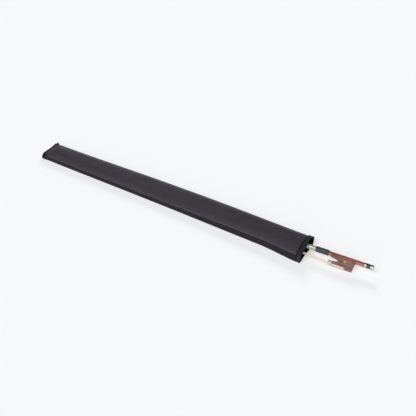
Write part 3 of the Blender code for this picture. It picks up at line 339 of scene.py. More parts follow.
@dataclass(frozen=True)
class Metal(Finish):
    """Worn polished metal with fine turning lines across X and a thin tarnish."""

    depth: float = 0.006 * MM
    relief: float = 0.8
    uneven: tuple[float, float] = (0.22, -0.08)
    colour: str = "DDDAD5"
    tarnish: str = "8F8A84"
    stain_size: float = 3.8462 * MM
    stain_limits: tuple[float, float] = (0.52, 0.72)  # clouds that begin and end the tarnish
    stain_share: float = 0.55               # most tarnish
    lines: float = 0.12 * MM                # turning line to line
    line_part: float = 0.2                  # their height among the scratches
    scratch_size: float = 0.19231 * MM

    def dress(self, tree: bpy.types.NodeTree, where: bpy.types.NodeSocket) -> Look:
        """Add tarnish, turning lines and scratches.

        Args:
            tree: The material's nodes.
            where: Object coordinates.

        Returns:
            Its colour, height and roughness.
        """
        stain = self.clouds(tree, where, self.stain_size, 4)
        stained = add_node(tree, "ShaderNodeMapRange", (stain, *self.stain_limits, 0.0, self.stain_share))
        colour = add_node(tree, MIX, {SHARE: stained, UNDER: srgb(self.colour), OVER: srgb(self.tarnish)},
                          data_type="RGBA")
        axes = add_node(tree, "ShaderNodeSeparateXYZ", (where,))
        turn = add_node(tree, MATH, (axes.outputs["X"], TAU / self.lines), operation="MULTIPLY")
        line = add_node(tree, MATH, (turn,), operation="SINE")
        scratches = self.clouds(tree, where, self.scratch_size, 2, (0.25, 1, 1))
        height = add_node(tree, MATH, (line, self.line_part, scratches), operation="MULTIPLY_ADD")
        return Look(colour, height, self.roughened(tree, stain))


@dataclass(frozen=True)
class Leather(Finish):
    """Thin dark leather with a pebbled grain."""

    depth: float = 0.05 * MM
    uneven: tuple[float, float] = (0.3, -0.15)
    colour: str = "2B2B30"
    crest: str = "4A4A50"                   # worn colour on the pebbles
    pebble_size: float = 0.66667 * MM
    groove: float = 0.16                    # width between pebbles, as a share
    wear_size: float = 5.5556 * MM          # patches of wear

    def dress(self, tree: bpy.types.NodeTree, where: bpy.types.NodeSocket) -> Look:
        """Add the pebbles.

        Args:
            tree: The material's nodes.
            where: Object coordinates.

        Returns:
            Its colour, height and roughness.
        """
        cells = add_node(tree, "ShaderNodeTexVoronoi", {"Vector": where, "Scale": 1 / self.pebble_size},
                         feature="DISTANCE_TO_EDGE")
        pebble = add_node(tree, "ShaderNodeMapRange", (cells, 0.0, self.groove, 0.0, 1.0))
        worn = self.clouds(tree, where, self.wear_size, 3)
        bright = add_node(tree, MATH, (pebble, worn), operation="MULTIPLY")
        colour = add_node(tree, MIX, {SHARE: bright, UNDER: srgb(self.colour), OVER: srgb(self.crest)},
                          data_type="RGBA")
        return Look(colour, pebble, self.roughened(tree, worn))


@dataclass(frozen=True)
class Pearl(Finish):
    """Mother-of-pearl or bone: clouded pale bands, bent by a coarser pattern."""

    depth: float = 0.02 * MM
    relief: float = 0.4
    stops: Stops = ((0.30, "B9A7A0"), (0.45, "D9CFCB"), (0.55, "BFC9C4"), (0.7, "E6E1E2"))
    bend: float = 8.0 * MM                  # how far the bands are bent
    bend_size: float = 4.7619 * MM
    band_size: float = 3.0303 * MM

    def dress(self, tree: bpy.types.NodeTree, where: bpy.types.NodeSocket) -> Look:
        """Cloud the colour.

        Args:
            tree: The material's nodes.
            where: Object coordinates.

        Returns:
            Its colour, height and roughness.
        """
        warp = self.clouds(tree, where, self.bend_size).outputs["Color"]
        shift = add_node(tree, "ShaderNodeVectorMath", (warp, (self.bend,) * 3), operation="MULTIPLY")
        bent = add_node(tree, "ShaderNodeVectorMath", (where, shift), operation="ADD")
        bands = self.clouds(tree, bent, self.band_size, 3, (0.5, 1, 1))
        return Look(add_node(tree, RAMP, (bands,), self.stops), bands, self.roughness)


@dataclass(frozen=True)
class Strands(Finish):
    """Hair or twisted thread, streaked along one axis."""

    depth: float = 0.04 * MM
    relief: float = 0.7
    stops: Stops = ((0.3, "B9A889"), (0.7, "F2EADB"))
    stretch: tuple[float, float, float] = (0.03, 1, 1)  # long along X
    size: float = 0.38462 * MM              # strand to strand

    def dress(self, tree: bpy.types.NodeTree, where: bpy.types.NodeSocket) -> Look:
        """Streak the colour along the strands.

        Args:
            tree: The material's nodes.
            where: Object coordinates.

        Returns:
            Its colour, height and roughness.
        """
        fibre = self.clouds(tree, where, self.size, 2, self.stretch)
        return Look(add_node(tree, RAMP, (fibre,), self.stops), fibre, self.roughness)


FINISHES: dict[str, Finish] = {
    # Plain-woven nylon, pressed smooth: violet black, with a broad soft highlight along the crown.
    # Real threads lie about 0.3 mm apart and the fuzz is finer still. Both are drawn coarser in all
    # the cloths, or they would not show.
    "nylon": Cloth("woven_nylon_top", 0.50, specular=0.45, thread="403B44", gap="272429", mottle=0.10),
    # The same nylon on edge, brushed by use: flatter than the top, faintly fuzzed, darker as painted shade.
    "painted_shade_side_nylon": Cloth("woven_nylon_side", 0.66, specular=0.16, sheen=0.03, thread="242226", gap="131215",
                        plane=Plane.UPRIGHT),
    # The same again across the closed end, so its threads run along Y and Z; darker as painted shade too.
    "painted_shade_end_nylon": Cloth("woven_nylon_end", 0.66, specular=0.16, sheen=0.03, thread="242326", gap="121214",
                       plane=Plane.CROSS),
    # Nylon folded double and stitched: a matt band, a little duller than the top beside it.
    "hem": Cloth("hem_nylon_turned", 0.66, specular=0.20, sheen=0.04, thread="322F35", gap="19181B",
                 pitch=0.7 * MM),
    # Grosgrain ribbon, woven with ribs across it: nearly black and matt, so it reads as a dark line.
    # It also paints the shade in the gutter under the top's rim along the side strips.
    "tape": Cloth("ribbed_binding_tape", 0.74, specular=0.12, thread="1D1C1E", gap="0C0C0D",
                  pitch=0.9 * MM, depth=0.16 * MM, ribs=True),
    # Brushed polyester lining: takes nearly all light, so that the mouth is a black opening.
    "lining": Cloth("brushed_lining", 0.9, specular=0.06, thread="141415", gap="0A0A0B",
                    pitch=1.2 * MM, depth=0.08 * MM),
    # Twisted polyester thread: slim dark dashes, a touch lighter than the cloth that they hold.
    "seam_thread": Strands("seam_thread", 0.6, specular=0.2, stops=((0.3, "1C1B1E"), (0.7, "3A393D"))),
    # Brazilwood under thin varnish: warm red brown with long streaks and a clear narrow shine.
    # Real pores are about 0.15 mm across. They are drawn near 0.5 mm in all the woods, to show.
    "brazilwood": Wood("varnished_brazilwood", 0.34, coat=0.35,
                       stops=((0.30, "5E261B"), (0.50, "94452F"), (0.70, "B4684A"))),
    # Hardwood, sanded and oiled: greyish brown, open pores, a satin face without sharp highlights.
    "frog_wood": Wood("satin_frog_wood", 0.46, streak=1.9231 * MM, pores=0.5,
                      stops=((0.30, "4E352F"), (0.50, "7D5C54"), (0.70, "A58278"))),
    # Ebony, cut and polished: near black with a small bright glint.
    "ebony": Wood("polished_ebony", 0.3, coat=0.2, stops=((0.3, "131112"), (0.7, "29272A")), pores=0.2),
    # Maple, sawn and left raw: pale, dry and matt.
    "maple": Wood("raw_maple", 0.6, stops=((0.3, "9C7648"), (0.7, "C9A776"))),
    # Silver, turned and handled: clear reflections, blurred where it has dulled. Real tool lines
    # are under 0.05 mm apart. They are drawn at 0.12 mm in all the metals, to show.
    "silver": Metal("worn_silver", 0.30, metallic=1.0, colour="B9B2AC", tarnish="7A736D"),
    # The same metal, bent and brushed, under a film of wax: an even light grey on all its faces.
    "ferrule": Metal("ferrule_silver", 0.5, metallic=0.55, colour="CFC7C1", tarnish="9A938D"),
    # Silver wire, drawn: light, with a soft glint on each turn.
    "wire": Metal("winding_silver", 0.42, metallic=0.75, colour="F1EEEA", tarnish="B5B0AA"),
    # Steel, cut with a thread: a neutral grey, bright on the crests.
    "steel": Metal("screw_steel", 0.3, metallic=1.0, colour="A9A9AC", tarnish="6E6C6A"),
    # Brass, milled: a warm yellow metal.
    "brass": Metal("eyelet_brass", 0.3, metallic=1.0, colour="D2A95C", tarnish="8A6A34"),
    # Thin dyed goatskin, glued and wrapped: blue black, pebbled, with worn lighter crests.
    "leather": Leather("grip_leather_pebbled", 0.42, specular=0.4),
    # Mother-of-pearl, ground flat and polished: pale bands of pink and green under a clear shine.
    "pearl": Pearl("inlaid_pearl", 0.2, coat=0.3),
    # Darker pearl of the round eyes, sunk in the wood: a dim pinkish grey.
    "eye": Pearl("inlaid_eye", 0.2, coat=0.2,
                 stops=((0.3, "8D7671"), (0.45, "B39F98"), (0.55, "9C9A94"), (0.7, "C9BDB8"))),
    # Bone, filed and polished: cream, faintly clouded.
    "bone": Pearl("tip_plate_bone", 0.34, stops=((0.3, "D8CDB6"), (0.7, "EFE8DA"))),
    # Horsehair, combed flat: warm off-white, with fine streaks from strand to strand. Real hairs are
    # 0.2 mm thick and packed close, so the streaks are drawn nearly twice as wide.
    "hair": Strands("bow_hair_strands", 0.5, specular=0.4,
                    stops=((0.3, "D3C1A9"), (0.6, "E6D8C4"), (0.8, "EFE2D5"))),
}


# Mesh helpers

def numpy_mesh(name: str, points: np.ndarray, faces: np.ndarray | list) -> bpy.types.Object:
    """Make a smooth-shaded mesh object.

    Args:
        name: The object's name.
        points: Vertices, (n, 3).
        faces: Vertex indices of each face.

    Returns:
        The linked object.
    """
    mesh = bpy.data.meshes.new(name)
    mesh.from_pydata([tuple(p) for p in points.reshape(-1, 3)], [], [tuple(int(i) for i in f) for f in faces])
    mesh.validate()
    item = bpy.data.objects.new(name, mesh)
    bpy.context.scene.collection.objects.link(item)
    bm = bmesh.new()
    bm.from_mesh(mesh)
    bmesh.ops.recalc_face_normals(bm, faces=bm.faces)
    bm.to_mesh(mesh)
    bm.free()
    mesh.shade_smooth()
    return item


def strip_faces(rows: int, columns: int, wrap_rows: bool = False, wrap_columns: bool = False) -> list[tuple]:
    """List the quads of a grid of points.

    Args:
        rows: Points along the first axis.
        columns: Points along the second axis.
        wrap_rows: Whether the last row joins the first.
        wrap_columns: Whether the last column joins the first.

    Returns:
        Quads as index tuples.
    """
    i = np.arange(rows if wrap_rows else rows - 1)[:, None]
    j = np.arange(columns if wrap_columns else columns - 1)[None, :]
    a, b = i * columns + j, i * columns + (j + 1) % columns
    c, d = (i + 1) % rows * columns + (j + 1) % columns, (i + 1) % rows * columns + j
    return [tuple(q) for q in np.stack([a, b, c, d], axis=-1).reshape(-1, 4)]


def swept(name: str, rings: np.ndarray, closed: bool = False, sharp: float | None = None) -> bpy.types.Object:
    """Skin rings of points, with end caps where the sweep is open.

    Args:
        name: The object's name.
        rings: (rings, points, 3).
        closed: Whether the last ring joins the first.
        sharp: Angle in degrees above which edges are sharp, or None.

    Returns:
        The object.
    """
    count, points = rings.shape[:2]
    faces = strip_faces(count, points, wrap_rows=closed, wrap_columns=True)
    if not closed:
        faces += [tuple(range(points)), tuple(range((count - 1) * points, count * points))]
    item = numpy_mesh(name, rings, faces)
    if sharp:
        item.data.set_sharp_from_angle(angle=math.radians(sharp))
    return item


def shell(name: str, upper: np.ndarray, lower: np.ndarray, sharp: float = 50.0) -> bpy.types.Object:
    """Make a closed shell between two grids of equal size.

    Args:
        name: The object's name.
        upper: (rows, columns, 3) points of the outer face.
        lower: The same for the inner face.
        sharp: Angle in degrees above which edges are sharp.

    Returns:
        The object.
    """
    rings = np.concatenate([upper, lower[:, ::-1]], axis=1)
    count, points = rings.shape[:2]
    faces = strip_faces(count, points, wrap_columns=True)
    for first in (0, (count - 1) * points):
        last = first + points - 1
        faces += [(first + k, first + k + 1, last - 1 - k, last - k) for k in range(upper.shape[1] - 1)]
    item = numpy_mesh(name, rings, faces)
    item.data.set_sharp_from_angle(angle=math.radians(sharp))
    return item


def soft_noise(u: np.ndarray, v: np.ndarray, seed: int, octaves: int = 3, growth: float = 1.9,
               waves: int = 5, level: float = 2.2) -> np.ndarray:
    """Sum seeded plane waves into a smooth field from about -1 to 1.

    Args:
        u: First coordinate, one unit a feature.
        v: Second coordinate.
        seed: Seed of the phases and directions.
        octaves: Number of octaves.
        growth: Frequency factor from one octave to the next.
        waves: Waves in each octave.
        level: Usual height of an octave's sum.

    Returns:
        The field.
    """
    random = np.random.default_rng(seed)
    total, weight = 0.0, 0.0
    for octave in range(octaves):
        size = growth ** octave
        for _ in range(waves):
            angle, phase = random.uniform(0, TAU, 2)
            ahead = u * math.cos(angle) + v * math.sin(angle)
            total = total + np.sin(ahead * size * TAU / 2 + phase) / size
        weight += level / size
    return total / weight


def ease(t: np.ndarray | float) -> np.ndarray:
    """Ease shares, clipped to 0..1, at both ends."""
    t = np.clip(t, 0, 1)
    return t * t * (3 - 2 * t)


def travelled(x: np.ndarray, y: np.ndarray) -> np.ndarray:
    """Length run along a flat path up to each of its points."""
    return np.concatenate([[0], np.cumsum(np.hypot(np.diff(x), np.diff(y)))])


def baked(item: bpy.types.Object) -> bpy.types.Object:
    """Replace an object with its evaluated mesh.

    Args:
        item: The object with modifiers.

    Returns:
        A plain mesh object of the same name.
    """
    graph = bpy.context.evaluated_depsgraph_get()
    mesh = bpy.data.meshes.new_from_object(item.evaluated_get(graph), depsgraph=graph)
    name = item.name
    bpy.data.objects.remove(item, do_unlink=True)
    plain = bpy.data.objects.new(name, mesh)
    bpy.context.scene.collection.objects.link(plain)
    return plain


@dataclass
class Workshop:
    """The loaded frame, the made materials, and how a piece joins the model."""

    frame: dict[str, Any]
    materials: dict[str, bpy.types.Material] = field(default_factory=dict)
    merge: float = 1e-6                     # points closer than this are one
    flat_angle: float = 1.0                 # degrees; faces flatter are joined
    edge_angle: float = 30.0                # degrees; sharper edges are broken
    edge_segments: int = 2
    shade_angle: float = 40.0               # degrees; sharper edges stay crisp

    def material(self, key: str) -> bpy.types.Material:
        """Return a finish's material, made on first use.

        Args:
            key: A key of FINISHES.

        Returns:
            The material.
        """
        if key not in self.materials:
            self.materials[key] = FINISHES[key].build()
        return self.materials[key]

    def fit(self, item: bpy.types.Object, body: Body, finish: str, slot: str, *nodes: str) -> None:
        """Finish a piece, let it ride on a body and hide the solids that it stands for.

        Args:
            item: The piece.
            body: The body that carries it.
            finish: A key of FINISHES, or "" to keep its own materials.
            slot: The record's material slot. Not used.
            nodes: The solids that it replaces.
        """
        if finish:
            item.data.materials.clear()
            item.data.materials.append(self.material(finish))
        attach(item, body.value)
        if nodes:
            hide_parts(*nodes)
        LOG.info("piece %s: %d faces on %s", item.name, len(item.data.polygons), body.value)

    def paint(self, node: str, finish: str) -> None:
        """Give a solid that stays in view its finish.

        Args:
            node: The solid's name.
            finish: A key of FINISHES.
        """
        data = self.frame["nodes"][node].data
        data.materials.clear()
        data.materials.append(self.material(finish))

    def softened(self, node: str, width: float) -> bpy.types.Object:
        """Copy a solid with its sharp edges broken.

        Args:
            node: The solid's name.
            width: Width of the broken edge.

        Returns:
            The copy.
        """
        bm = bmesh.new()
        bm.from_mesh(self.frame["nodes"][node].data)
        bmesh.ops.remove_doubles(bm, verts=bm.verts, dist=self.merge)
        bmesh.ops.dissolve_limit(bm, angle_limit=math.radians(self.flat_angle), verts=bm.verts,
                                 edges=bm.edges)
        mesh = bpy.data.meshes.new(node + "_eased")
        bm.to_mesh(mesh)
        bm.free()
        item = bpy.data.objects.new(node + "_eased", mesh)
        bpy.context.scene.collection.objects.link(item)
        bevel = item.modifiers.new("edges", "BEVEL")
        bevel.width = width
        bevel.segments = self.edge_segments
        bevel.limit_method = "ANGLE"
        bevel.angle_limit = math.radians(self.edge_angle)
        bevel.use_clamp_overlap = True
        item = baked(item)
        item.data.shade_smooth()
        item.data.set_sharp_from_angle(angle=math.radians(self.shade_angle))
        return item


# The sleeve's shape

@dataclass(frozen=True)
class SleeveShape:
    """Sizes of the sewn sleeve, and its outline and crown worked out from them."""

    length: float = 0.760
    end_width: float = 0.061
    mouth_width: float = 0.064
    near_shift: float = 0.0010              # near side's shift out
    waist: float = 0.0036                   # how much the near side draws in
    waist_run: float = 0.60                 # share of the length
    flare: float = 0.0065                   # near side's spread at the mouth
    flare_start: float = 0.88               # share of the length
    bulge: float = 0.0078                   # far side's swell
    bulge_skew: float = 1.25                # above 1 moves it to the mouth
    bulge_power: float = 1.5
    near_corner: float = 0.009              # plan radius
    far_corner: float = 0.0036              # plan radius
    slant: float = 0.0090                   # shear of the closed end
    slant_pivot: float = 0.10               # share from the far side that stays
    slant_run: float = 0.110                # how far along it fades
    lean: float = 0.0080                    # how far the closed end leans back
    lean_pivot: float = 0.60                # share of the height that stays
    lean_top: float = 1.5                   # height share where it stops
    end_puff: float = 0.0012                # closed face's bulge
    lean_run: float = 0.045
    near_side: float = 0.014                # height of the near side seam
    far_side: float = 0.0135                # height of the far side seam
    mouth_near: float = 0.0195              # the same at the mouth
    mouth_far: float = 0.0186               # the same at the mouth
    centre: float = 0.0222                  # height of the crown
    mouth_centre: float = 0.0264            # the same at the mouth
    end_crown: float = 0.0006               # crown above the seams at the closed end
    crown_run: float = 0.026                # how far along it rises
    valley: float = 0.0003                  # dip along the middle
    valley_share: float = 0.28              # its half width, in half widths
    swell_start: float = 0.55               # share of the length where it rises
    swell_power: float = 1.1
    crown_power: float = 2.6
    mouth_power: float = 3.0
    wall: float = 0.0025                    # top with foam and lining
    pad: float = 0.0018                     # top without its lining
    side_strip: float = 0.0016              # thickness
    hem: float = 0.0105                     # width of the mouth's hem
    corner_steps: int = 11                  # points round a corner

    @property
    def half(self) -> float:
        """Half the sleeve's length."""
        return self.length / 2

    @property
    def hem_start(self) -> float:
        """Where the hem begins."""
        return self.half - self.hem

    def along(self, x: np.ndarray) -> np.ndarray:
        """Share of the length at x, from 0 at the closed end."""
        return (x + self.half) / self.length

    def corner(self, side: int) -> float:
        """Plan radius of the near (-1) or far (1) closed corner."""
        return self.near_corner if side < 0 else self.far_corner

    def slanted(self, points: np.ndarray) -> np.ndarray:
        """Shear points along X at the closed end, most at the near side, and lean its face back.

        Args:
            points: (..., 3) points of the straight pattern.

        Returns:
            The points in place.
        """
        near = (self.end_width / 2 - points[..., 1]) / self.end_width
        from_end = points[..., 0] + self.half
        shift = self.slant * (near - self.slant_pivot) * (1 - ease(from_end / self.slant_run))
        height = np.clip(points[..., 2] / self.far_side, 0, self.lean_top)
        lean = self.lean * (height - self.lean_pivot)
        lean = lean - self.end_puff * np.sin(math.pi * np.clip(height, 0, 1))
        shift = shift + lean * ease(near * 2) * (1 - ease(from_end / self.lean_run))
        return points + shift[..., None] * np.array([1.0, 0.0, 0.0])

    def side(self, x: np.ndarray, side: int, inset: float = 0.0, rounded: bool = True) -> np.ndarray:
        """Place of the near (-1) or far (1) outline.

        Args:
            x: Places along the sleeve.
            side: -1 or 1.
            inset: How far inside the outline.
            rounded: Whether the closed corners are rounded.

        Returns:
            y values.
        """
        x = np.asarray(x, float)
        s = self.along(x)
        half = (self.end_width + (self.mouth_width - self.end_width) * s) / 2
        if side < 0:
            half = half + self.near_shift - self.waist * ease(s / self.waist_run)
            half = half + self.flare * ease((s - self.flare_start) / (1 - self.flare_start))
        else:
            arc = np.sin(math.pi * np.clip(s, 0, 1) ** self.bulge_skew)
            half = half + self.bulge * np.clip(arc, 0, None) ** self.bulge_power
        if rounded:
            radius = self.corner(side) - inset
            reach = np.clip(radius - (x + self.half - inset), 0, radius)
            half = half - (radius - np.sqrt(radius * radius - reach * reach))
        return side * (half - inset)

    def swell(self, x: np.ndarray) -> np.ndarray:
        """Share by which the sides have risen toward the mouth."""
        s = np.clip((self.along(np.asarray(x, float)) - self.swell_start) / (1 - self.swell_start), 0, None)
        return s ** self.swell_power

    def top(self, x: np.ndarray, y: np.ndarray) -> np.ndarray:
        """Height of the crowned top.

        Args:
            x: Places along the sleeve.
            y: Places across it.

        Returns:
            z values.
        """
        x, y = np.broadcast_arrays(np.asarray(x, float), np.asarray(y, float))
        near, far = self.side(x, -1, rounded=False), self.side(x, 1, rounded=False)
        t = np.clip((y - near) / (far - near), 0, 1)
        u = 2 * t - 1
        rise = self.swell(x)
        near_h = self.near_side + (self.mouth_near - self.near_side) * rise
        far_h = self.far_side + (self.mouth_far - self.far_side) * rise
        middle = self.centre + (self.mouth_centre - self.centre) * rise
        full = middle - (near_h + far_h) / 2
        crown = self.end_crown + (full - self.end_crown) * ease((x + self.half) / self.crown_run)
        valley = self.valley * ease(self.along(x)) * np.exp(-((u / self.valley_share) ** 2))
        power = self.crown_power + (self.mouth_power - self.crown_power) * rise
        return near_h + (far_h - near_h) * t + crown * (1 - np.abs(u) ** power) - valley

    def rim(self, side: int, end: float, steps: int) -> np.ndarray:
        """Plan path of a side and its closed corner, mouth first.

        Args:
            side: -1 or 1.
            end: x of the mouth end of the path.
            steps: Points along the straight part.

        Returns:
            (n, 4) of x, y, nx, ny.
        """
        radius = self.corner(side)
        x = np.linspace(end, -self.half + radius, steps)
        y = self.side(x, side, rounded=False)
        slope = np.gradient(y, x)
        length = np.hypot(1, slope)
        straight = np.stack([x, y, -slope * side / length, side / length], axis=1)
        turn = np.linspace(0, math.pi / 2, self.corner_steps)[1:]
        nx, ny = -np.sin(turn), side * np.cos(turn)
        centre_x, centre_y = -self.half + radius, side * (abs(y[-1]) - radius)
        arc = np.stack([centre_x + radius * nx, centre_y + radius * ny, nx, ny], axis=1)
        return np.concatenate([straight, arc])


# Stitching

@dataclass(frozen=True)
class StitchRow:
    """A row of sewn stitches set end to end along a path."""

    name: str
    pitch: float = 3.0 * MM
    length: float = 2.3 * MM
    width: float = 0.42 * MM
    sides: int = 6
    stations: int = 7
    lift: float = 0.35                      # middle's rise, in widths
    sink: float = 0.12                      # ends' dip, in widths
    flatness: float = 0.8                   # height over width
    fullness: float = 1.05                  # how full the thread stays to its ends
    tip: float = 0.04                       # least square of its thickness

    def prototype(self) -> bpy.types.Object:
        """Make one stitch of unit length and width: a thread that dips at both ends, along X.

        Returns:
            The object, outside the scene's collection.
        """
        t = np.linspace(-1, 1, self.stations)
        radius = np.sqrt(np.clip(self.fullness - t ** 4, self.tip, None)) / 2
        lift = self.lift * (1 - t ** 2) - self.sink
        angle = np.linspace(0, TAU, self.sides + 1)[:-1]
        rings = np.stack([np.stack([np.full(self.sides, x), r * np.cos(angle),
                                    r * np.sin(angle) * self.flatness + z], axis=1)
                          for x, r, z in zip(t / 2, radius, lift)])
        item = swept(self.name + "_one", rings)
        bpy.context.scene.collection.objects.unlink(item)
        return item

    def sew(self, path: np.ndarray, normals: np.ndarray, material: bpy.types.Material) -> bpy.types.Object:
        """Instance the stitch along a path and turn the instances into one mesh.

        Args:
            path: (n, 3) points on the cloth.
            normals: (n, 3) outward directions.
            material: The thread's material.

        Returns:
            The row as a plain mesh object.
        """
        gaps = np.linalg.norm(np.diff(path, axis=0), axis=1)
        run = np.concatenate([[0], np.cumsum(gaps)])
        count = max(2, int(run[-1] / self.pitch))
        at = (np.arange(count) + 0.5) * run[-1] / count
        points = np.stack([np.interp(at, run, path[:, k]) for k in range(3)], axis=1)
        out = np.stack([np.interp(at, run, normals[:, k]) for k in range(3)], axis=1)
        ahead = np.stack([np.interp(at + self.pitch / 3, run, path[:, k]) for k in range(3)], axis=1)
        behind = np.stack([np.interp(at - self.pitch / 3, run, path[:, k]) for k in range(3)], axis=1)
        mesh = bpy.data.meshes.new(self.name)
        mesh.from_pydata([tuple(p) for p in points], [], [])
        for key, values in (("along", ahead - behind), ("out", out)):
            attribute = mesh.attributes.new(key, "FLOAT_VECTOR", "POINT")
            attribute.data.foreach_set("vector", values.astype(np.float32).ravel())
        item = bpy.data.objects.new(self.name, mesh)
        bpy.context.scene.collection.objects.link(item)
        one = self.prototype()
        modifier = item.modifiers.new("stitches", "NODES")
        modifier.node_group = tree = self.group(one, material)
        for name, size in (("Length", self.length), ("Width", self.width)):
            modifier[tree.interface.items_tree[name].identifier] = size
        row = baked(item)
        bpy.data.objects.remove(one, do_unlink=True)
        return row

    def group(self, one: bpy.types.Object, material: bpy.types.Material) -> bpy.types.NodeTree:
        """Build the node group that puts a stitch at every point.

        Args:
            one: The single stitch, of unit size.
            material: The thread's material.

        Returns:
            The geometry node group, with the stitch's length and width as inputs.
        """
        tree = bpy.data.node_groups.new(self.name + "_nodes", "GeometryNodeTree")
        for name, kind in (("Points", "Geometry"), ("Length", "Float"), ("Width", "Float")):
            tree.interface.new_socket(name, in_out="INPUT", socket_type="NodeSocket" + kind)
        tree.interface.new_socket("Stitches", in_out="OUTPUT", socket_type="NodeSocketGeometry")
        given = add_node(tree, "NodeGroupInput").outputs
        along, out = (add_node(tree, "GeometryNodeInputNamedAttribute", {"Name": name},
                               data_type="FLOAT_VECTOR") for name in ("along", "out"))
        turn = add_node(tree, "FunctionNodeAlignRotationToVector", {"Vector": along}, axis="X")
        turn = add_node(tree, "FunctionNodeAlignRotationToVector", {"Rotation": turn, "Vector": out},
                        axis="Z", pivot_axis="X")
        size = add_node(tree, "ShaderNodeCombineXYZ", (given["Length"], given["Width"], given["Width"]))
        stitch = add_node(tree, "GeometryNodeObjectInfo", {"Object": one}).outputs["Geometry"]
        placed = add_node(tree, "GeometryNodeInstanceOnPoints", {
            "Points": given["Points"], "Instance": stitch, "Rotation": turn, "Scale": size})
        real = add_node(tree, "GeometryNodeRealizeInstances", {"Geometry": placed})
        painted = add_node(tree, "GeometryNodeSetMaterial", {"Geometry": real, "Material": material})
        add_node(tree, "NodeGroupOutput", (painted,))
        return tree


# The sleeve's pieces

SETTLING = {"quality": 6, "mass": 0.15, "tension_stiffness": 12, "compression_stiffness": 6,
            "shear_stiffness": 3, "bending_stiffness": 0.4, "shrink_min": -0.012, "shrink_max": -0.012,
            "use_pressure": True, "uniform_pressure_force": 0.6}


